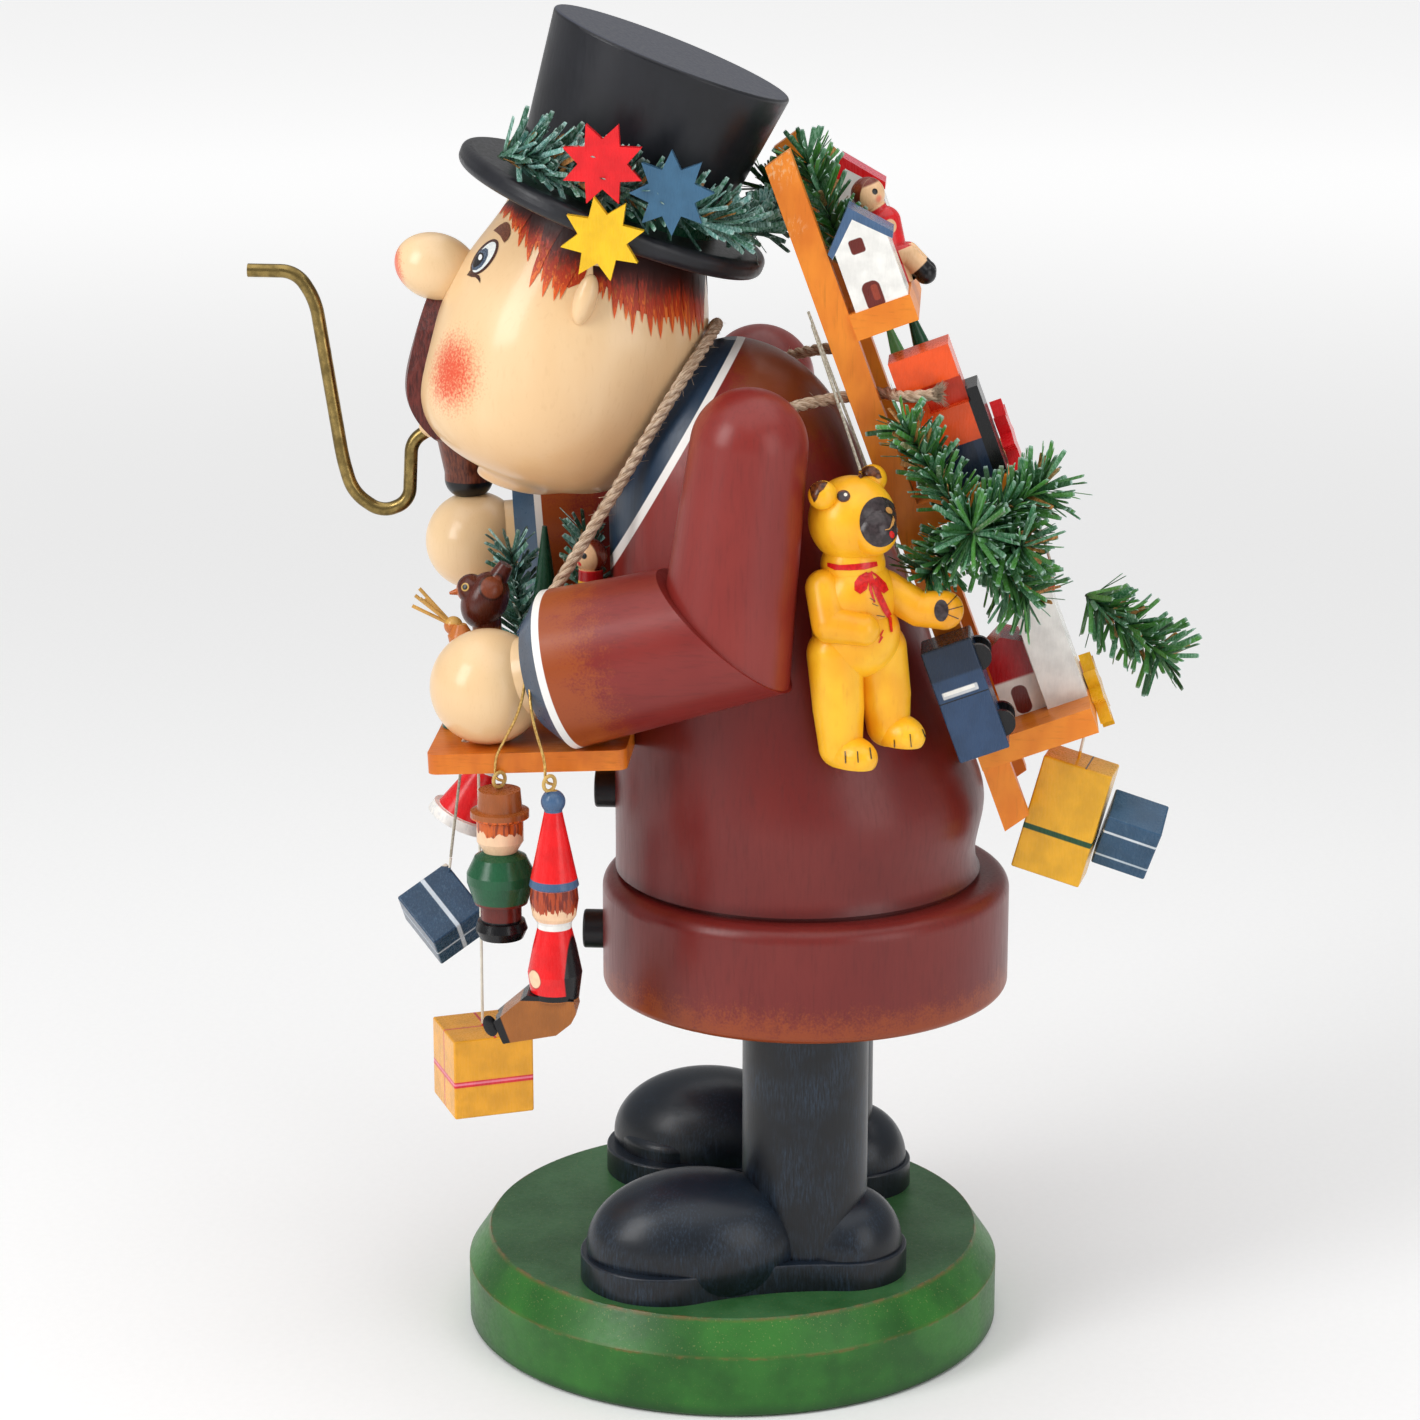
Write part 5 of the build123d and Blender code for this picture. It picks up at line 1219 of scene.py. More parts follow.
def rope(name, route, finish, seed, frayed_end=False):
    """Three twisted strands along a route, with loose fibres."""
    points, length = route_points(route)
    frames = travelling_frames(points)
    mesh = bmesh.new()
    layers = tube_layers(mesh)
    for strand in range(STRANDS):
        path = []
        for i, point in enumerate(points):
            turn = 2 * math.pi * (strand / STRANDS + length * i / (len(points) - 1) / (ROPE_LAY * MM))
            path.append(point + sideways(frames[i], turn) * STRAND_OFFSET * MM)
        add_tube(mesh, path, [STRAND_RADIUS * MM] * len(path), 9, layers)
    body = as_piece(name, mesh, finish)

    loose = bmesh.new()
    layers = tube_layers(loose)
    chance = random.Random(seed)
    for _ in range(int(length / MM * FIBRES_PER_MM)):
        i = chance.randrange(3, len(points) - 3)
        ahead = (points[i + 1] - points[i - 1]).normalized()
        out = sideways(frames[i], chance.uniform(0, 2 * math.pi))
        start = points[i] + out * (ROPE_RADIUS - 0.35) * MM
        reach = chance.uniform(0.6, 2.6) * MM
        rising = out * chance.uniform(0.25, 0.9)
        lying = ahead * chance.choice((-1, 1)) * chance.uniform(0.5, 1.0)
        way = (rising + lying).normalized()
        bend = Vector([chance.uniform(-0.4, 0.4) for _ in range(3)])
        middle = start + way * reach * 0.5 + bend * reach * 0.15
        tip = start + (way + bend * 0.5).normalized() * reach
        add_tube(loose, [start, middle, tip], [0.07 * MM, 0.06 * MM, 0.03 * MM], 3, layers)
    if frayed_end:
        end = points[-1]
        ahead = (points[-1] - points[-4]).normalized()
        for _ in range(FRAYED_FIBRES):
            out = sideways(frames[-1], chance.uniform(0, 2 * math.pi))
            start = end - ahead * chance.uniform(0.2, 1.6) * MM + out * chance.uniform(0.2, 1.7) * MM
            reach = chance.uniform(1.2, 3.6) * MM
            way = (ahead + out * chance.uniform(0.1, 0.8)).normalized()
            path = [start, start + way * reach * 0.55, start + (way + out * 0.3).normalized() * reach]
            add_tube(loose, path, [0.1 * MM, 0.09 * MM, 0.04 * MM], 4, layers)
    fibres = as_piece(name + "_fibres", loose, finish)
    return body


# Evergreen
GOLDEN_ANGLE = math.radians(137.508)
NEEDLE_LEANS = (38, 76)
NEEDLE_LENGTHS = (0.72, 1.12)
STEM_TWIST_PER_MM = 1.6
STEM_WIRE_RADIUS = 0.3
STEM_WIRE_OFFSET = 0.28


def needle_mesh(finish):
    """One flat needle, one metre long, folded a little along its middle, to be scaled along its length."""
    shape = bmesh.new()
    layer = shape.verts.layers.float.new("along")
    rings = []
    for height, width in ((0.0, 0.32), (0.1, 0.62), (0.92, 0.6), (1.0, 0.48)):
        ring = []
        for x, y in ((-width, 0.0), (0.0, -0.15), (width, 0.0), (0.0, 0.07)):
            vert = shape.verts.new((x * MM, y * MM, height))
            vert[layer] = height
            ring.append(vert)
        rings.append(ring)
    for low, high in zip(rings, rings[1:]):
        for j in range(4):
            k = (j + 1) % 4
            shape.faces.new((low[j], low[k], high[k], high[j]))
    shape.faces.new(rings[0][::-1])
    shape.faces.new(rings[-1])
    bmesh.ops.recalc_face_normals(shape, faces=shape.faces[:])
    mesh = bpy.data.meshes.new("needle")
    shape.to_mesh(mesh)
    shape.free()
    mesh.materials.append(finish)
    return bpy.data.objects.new("needle", mesh)


def needles_on_wire():
    """Node tree that sets a needle on every point, along its own direction and at its own length."""
    tree = bpy.data.node_groups.new("needles on wire", "GeometryNodeTree")
    face = tree.interface
    face.new_socket("Places", in_out="INPUT", socket_type="NodeSocketGeometry")
    needle = face.new_socket("Needle", in_out="INPUT", socket_type="NodeSocketObject")
    finish = face.new_socket("Finish", in_out="INPUT", socket_type="NodeSocketMaterial")
    width = face.new_socket("Width", in_out="INPUT", socket_type="NodeSocketFloat")
    seed = face.new_socket("Seed", in_out="INPUT", socket_type="NodeSocketInt")
    face.new_socket("Sprig", in_out="OUTPUT", socket_type="NodeSocketGeometry")
    nodes, links = tree.nodes, tree.links
    start = nodes.new("NodeGroupInput")
    end = nodes.new("NodeGroupOutput")
    info = nodes.new("GeometryNodeObjectInfo")
    info.inputs["As Instance"].default_value = True
    lean = nodes.new("GeometryNodeInputNamedAttribute")
    lean.data_type = "FLOAT_VECTOR"
    lean.inputs["Name"].default_value = "lean"
    reach = nodes.new("GeometryNodeInputNamedAttribute")
    reach.data_type = "FLOAT"
    reach.inputs["Name"].default_value = "reach"
    align = nodes.new("FunctionNodeAlignRotationToVector")
    align.axis = "Z"
    spin = nodes.new("FunctionNodeRandomValue")
    spin.data_type = "FLOAT"
    turn = nodes.new("FunctionNodeAxisAngleToRotation")
    turn.inputs["Axis"].default_value = (0, 0, 1)
    both_turns = nodes.new("FunctionNodeRotateRotation")
    both_turns.rotation_space = "LOCAL"
    size = nodes.new("ShaderNodeCombineXYZ")
    place = nodes.new("GeometryNodeInstanceOnPoints")
    real = nodes.new("GeometryNodeRealizeInstances")
    cover = nodes.new("GeometryNodeSetMaterial")
    cloud = nodes.new("GeometryNodeMeshToPoints")
    spin_float = [s for s in spin.inputs if s.type == "VALUE"]
    spin_float[0].default_value = 0.0
    spin_float[1].default_value = 2 * math.pi
    spin_seed = [s for s in spin.inputs if s.name == "Seed"][0]
    spin_out = [s for s in spin.outputs if s.type == "VALUE"][0]
    links.new(start.outputs["Places"], cloud.inputs[0])
    links.new(cloud.outputs[0], place.inputs["Points"])
    links.new(start.outputs["Needle"], info.inputs["Object"])
    links.new(info.outputs["Geometry"], place.inputs["Instance"])
    links.new(first_enabled(lean), align.inputs["Vector"])
    links.new(start.outputs["Seed"], spin_seed)
    links.new(spin_out, turn.inputs["Angle"])
    links.new(align.outputs[0], both_turns.inputs[0])
    links.new(turn.outputs[0], both_turns.inputs[1])
    links.new(both_turns.outputs[0], place.inputs["Rotation"])
    links.new(start.outputs["Width"], size.inputs[0])
    links.new(start.outputs["Width"], size.inputs[1])
    links.new(first_enabled(reach), size.inputs[2])
    links.new(size.outputs[0], place.inputs["Scale"])
    links.new(place.outputs[0], real.inputs[0])
    links.new(real.outputs[0], cover.inputs["Geometry"])
    links.new(start.outputs["Finish"], cover.inputs["Material"])
    links.new(cover.outputs[0], end.inputs[0])
    return tree, {socket.name: socket.identifier for socket in (needle, finish, width, seed)}


def first_enabled(node):
    """The output that a node shows for its kind of data."""
    return [socket for socket in node.outputs if socket.enabled][0]


def on_stem(points, goal):
    """The place at a distance along straight runs, in mm, with the direction there."""
    for a, b in zip(points, points[1:]):
        run = (b - a).length
        if goal <= run or b is points[-1]:
            ahead = (b - a).normalized()
            return a + ahead * goal, ahead
        goal -= run


def round_stem(ahead, angle):
    """A direction square to a stem, turned round it by an angle."""
    side = ahead.orthogonal().normalized()
    return side * math.cos(angle) + ahead.cross(side) * math.sin(angle)


def evergreen(name, stems, rise, finish, seed, replaced):
    """A garland of flat needles on twisted wire. Each stem has its places in mm along the wire, the
    needles' length and how many there are."""
    chance = random.Random(seed)
    places, leans, reaches, tones = [], [], [], []
    wires = bmesh.new()
    for stem, needle_length, count in stems:
        points = [Vector(p) for p in stem]
        total = sum((b - a).length for a, b in zip(points, points[1:]))
        for i in range(count):
            spot, ahead = on_stem(points, total * (i + chance.random()) / count)
            out = round_stem(ahead, GOLDEN_ANGLE * i + chance.uniform(-0.5, 0.5))
            lean = math.radians(chance.uniform(*NEEDLE_LEANS))
            way = ahead * math.cos(lean) + out * math.sin(lean) + Vector(rise) * chance.uniform(0.1, 0.7)
            way.normalize()
            places.append(spot * MM)
            leans.append(way)
            tone = chance.random()
            length = needle_length * chance.uniform(*NEEDLE_LENGTHS)
            if tone > TAN_FROM:
                length *= 0.75
            reaches.append(length * MM)
            tones.append(tone)
        for phase in (0.0, math.pi):
            path = []
            steps = max(6, int(total / 0.8))
            for j in range(steps + 1):
                goal = total * j / steps
                spot, ahead = on_stem(points, goal)
                twist = round_stem(ahead, phase + goal * STEM_TWIST_PER_MM)
                path.append((spot + twist * STEM_WIRE_OFFSET) * MM)
            add_tube(wires, path, [STEM_WIRE_RADIUS * MM] * len(path), 6)
    seeds = bpy.data.meshes.new(name + "_places")
    seeds.from_pydata([tuple(p) for p in places], [], [])
    lean_data = seeds.attributes.new("lean", "FLOAT_VECTOR", "POINT")
    lean_data.data.foreach_set("vector", [c for way in leans for c in way])
    seeds.attributes.new("reach", "FLOAT", "POINT").data.foreach_set("value", reaches)
    seeds.attributes.new("tone", "FLOAT", "POINT").data.foreach_set("value", tones)
    grower = bpy.data.objects.new(name + "_places", seeds)
    bpy.context.scene.collection.objects.link(grower)
    modifier = grower.modifiers.new("needles", "NODES")
    modifier.node_group = NEEDLE_TREE
    modifier[NEEDLE_SOCKETS["Needle"]] = NEEDLE
    modifier[NEEDLE_SOCKETS["Finish"]] = finish
    modifier[NEEDLE_SOCKETS["Width"]] = 1.0
    modifier[NEEDLE_SOCKETS["Seed"]] = seed
    bpy.context.view_layer.update()
    evaluated = grower.evaluated_get(bpy.context.evaluated_depsgraph_get())
    mesh = bpy.data.meshes.new_from_object(evaluated)
    mesh.name = name
    bpy.data.objects.remove(grower)
    mesh.materials.clear()
    sprig = new_piece(name, mesh, finish, "figure")
    wire = as_piece(name + "_wire", wires, STEM_WIRE)
    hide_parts(replaced)


STEM_WIRE = plain("stem_wire_green", srgb(40, 58, 40), rough=0.4)


# Finishes on the solids
put(base_finish(), "base_disc")
put(boot_finish(), "left_boot", "right_boot", "left_leg", "right_leg")
put(hem_finish(), "hem_ring")
put(coat_finish(), "coat")
put(satin_black("button_black", srgb(20, 20, 24)), "hem_button", "coat_button")
put(brass_wire("dish_sheet_brass", srgb(170, 140, 84)), "incense_dish")
put(brass_wire("stem_brass"), "pipe_stem")
put(bowl_finish(), "pipe_bowl")
put(head_finish(), "head")
put(nose_finish(), "nose")
put(plain_beech("ear_beech"), "ears")
put(plain_beech("hand_beech"), "left_hand", "right_hand")
put(walnut("moustache_maroon", srgb(112, 48, 42), srgb(62, 24, 22), (1, 1, 6)), "moustache")
put(satin_black("brim_black", srgb(24, 25, 30)), "hat_brim")
put(satin_black("crown_black", srgb(22, 23, 28), (1, 1, 7), painted_top_light=True), "hat_crown")
put(plain("band_green", srgb(24, 70, 48)), "hat_band")
put(plain("star_red", srgb(226, 26, 34)), "hat_star_red")
put(plain("star_blue", srgb(58, 98, 128)), "hat_star_blue")
put(plain("star_yellow", srgb(240, 190, 30)), "hat_star_yellow")
put(upper_arm_finish("left_upper_sleeve", LEFT_ELBOW), "left_upper_arm")
put(upper_arm_finish("right_upper_sleeve", RIGHT_ELBOW), "right_upper_arm")
put(sleeve_finish("left_fore_sleeve", LEFT_ELBOW, LEFT_WRIST), "left_forearm")
put(sleeve_finish("right_fore_sleeve", RIGHT_ELBOW, RIGHT_WRIST), "right_forearm")
put(plain("cuff_blue", srgb(62, 84, 106), rough=0.32, grain=(1, 1, 3)), "cuffs")

TRAY_ORANGE = srgb(230, 130, 34)
RACK_ORANGE = srgb(240, 142, 40)
put(stained_wood("tray_wood", TRAY_ORANGE, srgb(206, 106, 26), stretch=(1, 9, 1)), "tray")
top_glue = (rack_place(25, 3, 172), 6.5)
mid_glue = (rack_place(25, 3, 155), 3.0)
shelf_glue = (rack_place(24, 24, 80), 4.0)
rack_turn = (RACK_LEAN, 0, 0)
rail_wood = stained_wood(
    "rail_wood", RACK_ORANGE, srgb(220, 118, 28), rack_turn, (1, 1, 12), (top_glue, mid_glue))
shelf_wood = stained_wood("shelf_wood", RACK_ORANGE, srgb(226, 124, 30), rack_turn, (1, 8, 1), (shelf_glue,))
put(rail_wood, "rack_rails")
put(shelf_wood, "upper_shelf", "middle_shelf", "lower_shelf")

blue_house = house_regions(23.7, SLATE, 146.0, 152.4, srgb(92, 120, 156))
red_house = house_regions(-12.0, RED, 153.4, 160.4, PINK)
put(painted_regions("blue_roof_house", TOY_WHITE, blue_house), "blue_roof_house")
put(painted_regions("red_roof_house", TOY_WHITE, red_house), "red_roof_house")
put(painted_regions("toy_church", TOY_WHITE, church_regions), "toy_church")
put(painted_regions("toy_wagon", srgb(236, 84, 28), wagon_regions), "toy_wagon")
put(painted_regions("toy_truck", TOY_BLUE, truck_regions, relief=0.04), "toy_truck")
put(painted_regions("rack_doll", srgb(206, 40, 44), doll_regions), "rack_doll")
put(painted_regions("rack_stars", RED, star_regions), "rack_stars")
put(painted_regions("rack_trees", TREE_GREEN, tree_regions), "rack_trees")
put(painted_regions("tray_doll", srgb(206, 36, 38), tray_doll_regions), "tray_doll")
put(painted_regions("tray_bird", srgb(84, 36, 26), bird_regions, grain=(1, 1, 4)), "tray_bird")
put(painted_regions("tray_house", TOY_WHITE, tray_house_regions), "tray_house")
put(plain("tray_tree", srgb(24, 66, 44)), "tray_tree")
put(painted_regions("tray_toy", YELLOW, tray_toy_regions), "tray_toy")
put(painted_regions("green_figure", GREEN_COAT, green_figure_regions), "green_figure")
put(painted_regions("red_puppet", srgb(232, 28, 32), puppet_regions), "red_puppet")
put(painted_regions("ornament", RED, ornament_regions), "ornament")
put(painted_regions("front_blue_parcel", srgb(34, 64, 92), front_blue_regions), "front_blue_parcel")
put(painted_regions("front_yellow_parcel", srgb(234, 164, 40), front_yellow_regions), "front_yellow_parcel")
put(painted_regions("back_parcels", srgb(232, 172, 36), back_parcel_regions), "back_parcels")
put(bear_finish(), "bear")
put(wire_finish(), "toy_wires")

# Painted face, as (y, z) on the plane x = 0, seen from the camera. A lock has its root, tip and width
FRONT_HAIR = (
    ((-53.52, 284.2), (-56.52, 280.96), 1.1),
    ((-52.6, 283.84), (-55.65, 279.96), 1.7),
    ((-51.13, 283.3), (-53.39, 277.3), 2.3),
    ((-50.03, 282.4), (-52.79, 276.66), 2.3),
    ((-48.57, 281.49), (-52.0, 273.16), 2.8),
    ((-46.54, 280.77), (-49.82, 269.58), 3.4),
    ((-44.52, 280.24), (-47.02, 271.73), 2.7),
    ((-43.23, 279.7), (-47.08, 266.55), 3.4),
    ((-40.84, 278.8), (-49.53, 263.37), 4.6),
    ((-39.56, 277.52), (-46.4, 260.99), 4.6),
    ((-37.73, 275.69), (-43.62, 260.08), 4.6),
    ((-36.26, 273.86), (-42.13, 260.47), 4.2),
)
BACK_HAIR = (
    ((-32.31, 268.67), (-33.29, 261.0), 3.5),
    ((-30.48, 268.17), (-31.9, 260.67), 1.9),
    ((-27.85, 270.29), (-29.04, 255.88), 3.5),
    ((-25.23, 270.84), (-26.23, 255.46), 3.5),
    ((-23.14, 270.86), (-24.73, 252.18), 3.5),
    ((-20.52, 270.88), (-20.13, 251.7), 3.8),
    ((-17.78, 270.38), (-17.85, 251.06), 3.8),
    ((-15.3, 269.62), (-14.95, 252.54), 3.5),
    ((-12.95, 268.86), (-12.41, 251.78), 3.0),
    ((-10.73, 268.1), (-10.73, 250.74), 3.0),
    ((-9.03, 267.33), (-8.65, 252.08), 2.4),
    ((-7.99, 266.81), (-7.68, 253.15), 1.6),
)
# The painted hair as a whole, down to where it breaks into spikes
FRONT_MASS = (
    (-53.8, 285.6), (-53.2, 282.0), (-51.6, 279.4), (-50.6, 277.4), (-49.2, 275.2), (-47.6, 273.6),
    (-46.2, 272.6), (-45.2, 270.4), (-44.4, 268.2), (-42.6, 265.2), (-40.0, 263.4), (-36.6, 264.8),
    (-34.0, 272.0), (-34.6, 279.0), (-37.0, 282.4), (-41.5, 284.6), (-47.0, 286.0),
)
BACK_MASS = (
    (-31.2, 270.0), (-31.4, 264.6), (-29.4, 262.2), (-27.2, 260.0), (-25.2, 258.8), (-22.4, 258.2),
    (-20.6, 257.0), (-18.2, 256.4), (-15.8, 257.4), (-13.8, 256.8), (-11.4, 257.0), (-9.6, 256.6),
    (-7.4, 257.6), (-7.2, 268.0), (-12.0, 271.5), (-20.0, 273.5), (-27.0, 273.5),
)


def spike(root, tip, width, bend=0.16):
    """A lock that narrows from its root to its tip along a gentle curve."""
    along = Vector((tip[0] - root[0], tip[1] - root[1]))
    side = Vector((-along.y, along.x)).normalized()
    sweep = side * along.length * bend
    left, right = [], []
    steps = 7
    for i in range(steps):
        t = i / steps
        middle = Vector(root) + along * t + sweep * (t * t - t)
        half = side * width * 0.5 * (1 - t) ** 0.72
        left.append(tuple(middle + half))
        right.append(tuple(middle - half))
    return left + [tuple(tip)] + right[::-1]


def ellipse(centre, long_end, short_end, count=30):
    """An oval from its middle and the ends of its two half axes."""
    a = Vector(long_end) - Vector(centre)
    b = Vector(short_end) - Vector(centre)
    angles = [2 * math.pi * i / count for i in range(count)]
    return [tuple(Vector(centre) + a * math.cos(angle) + b * math.sin(angle)) for angle in angles]


def stroke(points, width, taper=0.35):
    """A brush stroke: a band along points, narrower at its ends."""
    places = [Vector(p) for p in points]
    left, right = [], []
    for i, place in enumerate(places):
        ahead = (places[min(i + 1, len(places) - 1)] - places[max(i - 1, 0)]).normalized()
        side = Vector((-ahead.y, ahead.x))
        share = i / (len(places) - 1)
        half = width * 0.5 * (taper + (1 - taper) * math.sin(math.pi * (0.12 + 0.76 * share)))
        left.append(tuple(place + side * half))
        right.append(tuple(place - side * half))
    return left + right[::-1]


head_surface = tree_of(["head"])
hair_paint = hair_finish()
hair_masses = [FRONT_MASS, BACK_MASS]
decal("painted_hair_mass", hair_masses, head_surface, 0.10, hair_paint, mirror=True, tones=[0.34, 0.26])
locks = [spike(root, tip, width) for root, tip, width in FRONT_HAIR]
locks += [spike(root, tip, width, 0.04) for root, tip, width in BACK_HAIR]
for table, bend in ((FRONT_HAIR, 0.12), (BACK_HAIR, 0.04)):
    for (root_a, tip_a, width_a), (root_b, tip_b, width_b) in zip(table, table[1:]):
        root = (Vector(root_a) + Vector(root_b)) / 2
        tip = root.lerp((Vector(tip_a) + Vector(tip_b)) / 2, 0.84)
        locks.append(spike(root, tip, (width_a + width_b) * 0.42, bend))
decal("painted_locks", locks, head_surface, 0.16, hair_paint, mirror=True)

umber = face_paint("rim_umber", srgb(62, 36, 30), srgb(84, 50, 40))
eye_white = face_paint("eye_white", srgb(242, 244, 240), srgb(224, 230, 230))
iris_navy = face_paint("iris_navy", srgb(44, 58, 78), srgb(96, 112, 132), 0.4)
pupil_black = face_paint("pupil_black", srgb(16, 16, 20), srgb(34, 30, 32))
light_white = face_paint("light_white", srgb(250, 250, 250), srgb(236, 238, 240))
brow_brown = face_paint("brow_brown", srgb(122, 70, 46), srgb(96, 52, 34))
FACE_CELL = 0.5
LIGHT_CELL = 0.4
face_decals = (
    ("eye_rims", ellipse((-60.23, 270.72), (-57.2, 274.91), (-58.51, 269.5)), 0.10, umber, FACE_CELL),
    ("lashes", (
        (-64.54, 266.29), (-63.64, 266.61), (-63.58, 267.69), (-62.67, 266.67), (-61.56, 266.22),
        (-61.3, 265.48), (-61.37, 264.33), (-61.95, 265.29), (-62.5, 265.8), (-63.52, 265.87),
    ), 0.12, umber, FACE_CELL),
    ("eye_whites", ellipse((-60.27, 270.65), (-57.65, 274.26), (-59.01, 269.76)), 0.16, eye_white, FACE_CELL),
    ("irises", (
        (-59.79, 272.85), (-59.24, 272.45), (-59.32, 271.06), (-59.97, 269.57), (-60.94, 268.27),
        (-62.1, 267.48), (-63.07, 267.43), (-63.28, 268.43), (-62.58, 270.01), (-61.29, 272.15),
    ), 0.22, iris_navy, FACE_CELL),
    ("pupils", (
        (-61.2, 271.78), (-60.4, 271.51), (-60.29, 270.59), (-60.92, 269.29), (-61.9, 268.35),
        (-62.74, 268.03), (-62.97, 268.77), (-62.24, 270.48),
    ), 0.27, pupil_black, FACE_CELL),
    ("eye_lights", ellipse(
        (-61.09, 270.53), (-60.85, 271.23), (-60.68, 270.38), 14), 0.32, light_white, LIGHT_CELL),
    ("brows", (
        (-57.87, 277.08), (-57.03, 277.82), (-56.19, 278.48), (-55.25, 279.04), (-54.51, 279.14),
        (-54.06, 278.5), (-53.83, 277.39), (-53.87, 276.29), (-54.38, 275.17), (-55.32, 274.2),
        (-55.72, 274.79), (-56.23, 275.8), (-56.96, 276.44),
    ), 0.22, brow_brown, FACE_CELL),
)
for name, outline, lift, finish, cell in face_decals:
    decal(name, [outline], head_surface, lift, finish, mirror=True, cell=cell)

# The bear's painted face, ribbon and claws, as outlines seen from the camera
bear_surface = tree_of(["bear"])
bear_black = face_paint("bear_dark", srgb(46, 38, 40), srgb(66, 56, 58), 1.2)
bear_umber = face_paint("bear_umber", srgb(112, 58, 22), srgb(60, 30, 16), 0.8)
ribbon_red = face_paint("bear_ribbon_red", srgb(222, 28, 26), srgb(196, 20, 22), 0.8)
pale_dot = face_paint("bear_light", srgb(240, 236, 226), srgb(226, 220, 206))
# The tan of a painted highlight on the bear's nose and muzzle
nose_highlight_tan = face_paint("bear_highlight_tan", srgb(214, 160, 92), srgb(190, 130, 66))
bear_decals = (
    ("bear_muzzle", [ellipse((35.62, 206.84), (35.18, 213.05), (40.49, 207.28))], 0.12, bear_black),
    ("bear_eye_ring", [ellipse((26.79, 213.12), (28.43, 213.14), (26.77, 214.61))], 0.12, bear_umber),
    ("bear_pupil", [ellipse((26.85, 213.06), (28.07, 213.07), (26.84, 214.18))], 0.2, bear_black),
    ("bear_eye_light", [ellipse((27.33, 213.38), (27.76, 213.38), (27.33, 213.81), 14)], 0.28, pale_dot),
    # Painted highlight: a tan glint on the nose and a line of light down the muzzle
    ("bear_nose_spot", [
        ellipse((37.72, 209.67), (38.51, 209.49), (37.59, 210.53), 16),
        stroke(((38.65, 208.31), (38.96, 207.26), (38.67, 206.13), (37.83, 205.06), (36.86, 204.86)), 0.35),
    ], 0.22, nose_highlight_tan),
    ("bear_mouth", [ellipse((38.52, 203.76), (39.13, 203.65), (38.45, 204.63), 16)], 0.22, ribbon_red),
    ("bear_ears", [
        ((19.09, 216.3), (20.54, 217.56), (22.37, 217.46), (22.86, 216.35), (21.9, 214.73), (20.93, 213.97),
         (20.34, 212.35), (19.67, 211.47), (18.87, 213.32), (18.61, 215.06)),
        ((29.9, 218.18), (30.37, 219.67), (31.82, 220.56), (33.88, 220.59), (35.35, 219.62), (35.98, 217.89),
         (35.13, 217.51), (33.79, 218.23), (31.97, 218.09), (30.88, 217.45)),
    ], 0.12, bear_umber),
    ("bear_ribbon", [
        ((23.02, 196.53), (26.08, 195.95), (29.75, 196.26), (35.0, 196.96), (35.26, 195.84), (32.21, 194.92),
         (28.54, 194.61), (24.87, 194.68), (23.03, 195.53)),
        stroke((
            (32.71, 194.17), (31.01, 193.2), (29.92, 191.49), (29.94, 189.73), (31.05, 189.0),
            (32.44, 190.09), (32.97, 192.29), (32.83, 194.17)), 0.6, 0.8),
        stroke((
            (33.56, 194.43), (35.29, 193.08), (37.02, 191.35), (37.65, 189.85), (36.86, 189.21),
            (35.44, 190.13), (34.2, 192.31), (33.44, 194.18)), 0.6, 0.8),
        stroke((
            (33.07, 194.18), (34.08, 191.68), (35.22, 188.56), (36.97, 184.81), (38.35, 182.62),
            (38.76, 179.28)), 1.0),
        stroke(((33.33, 193.55), (33.61, 189.79), (34.63, 186.66)), 0.8),
        stroke(((33.58, 192.3), (35.7, 189.19), (37.46, 185.44), (38.58, 183.57)), 0.9),
        stroke(((36.79, 179.75), (36.07, 178.35), (36.56, 177.98), (35.72, 176.45)), 0.5),
    ], 0.12, ribbon_red),
    ("bear_marks", [
        stroke(((34.02, 186.4), (35.49, 185.79)), 0.3), stroke(((35.09, 183.51), (37.12, 183.17)), 0.3),
        stroke(((33.39, 187.77), (34.74, 187.04)), 0.3), stroke(((27.86, 148.61), (28.01, 145.65)), 0.45),
        stroke(((30.84, 148.67), (31.05, 145.84)), 0.45), stroke(((33.8, 149.62), (34.26, 146.8)), 0.45),
        stroke(((39.96, 151.91), (40.12, 148.84)), 0.4), stroke(((43.77, 153.39), (44.12, 150.19)), 0.4),
        stroke(((46.71, 154.6), (47.8, 151.93)), 0.4),
        ellipse((51.01, 184.88), (50.97, 187.56), (52.74, 184.91), 20),
        stroke(((52.37, 186.15), (54.67, 188.68)), 0.35), stroke(((52.74, 185.09), (56.01, 186.03)), 0.35),
        stroke(((52.41, 184.02), (55.2, 182.9)), 0.35),
    ], 0.14, bear_black),
)
for name, shapes, lift, material in bear_decals:
    decal(name, shapes, bear_surface, lift, material, body="bear_hang", cell=FACE_CELL)

# Ropes
jute = jute_finish()
neck = rope("neck_rope_strands", NECK_ROPE, jute, 3)
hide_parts("neck_rope")
left_rope = rope("left_shoulder_rope_strands", LEFT_SHOULDER_ROPE, jute, 5, frayed_end=True)
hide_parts("shoulder_ropes")
rope("right_shoulder_rope_strands", RIGHT_SHOULDER_ROPE, jute, 7)

# Evergreen: stems in mm, in the hat's and the rack's own places brought to the shared frame, and the tray's
# given in the shared frame
HAT_CENTRE = Vector((0, -29.23, 282.89)) + HAT_AXIS * 2.6
HAT_BACK = Vector((0, math.cos(HAT_LEAN), -math.sin(HAT_LEAN)))


def hat_place(x, back, up):
    """A place in the shared frame, in mm, from the hat's own left, back and up."""
    return HAT_CENTRE + Vector((x, 0, 0)) + HAT_BACK * back + HAT_AXIS * up


def stems_of(place, table):
    """A table of stems brought to the shared frame."""
    return [([place(*p) for p in points], length, count) for points, length, count in table]


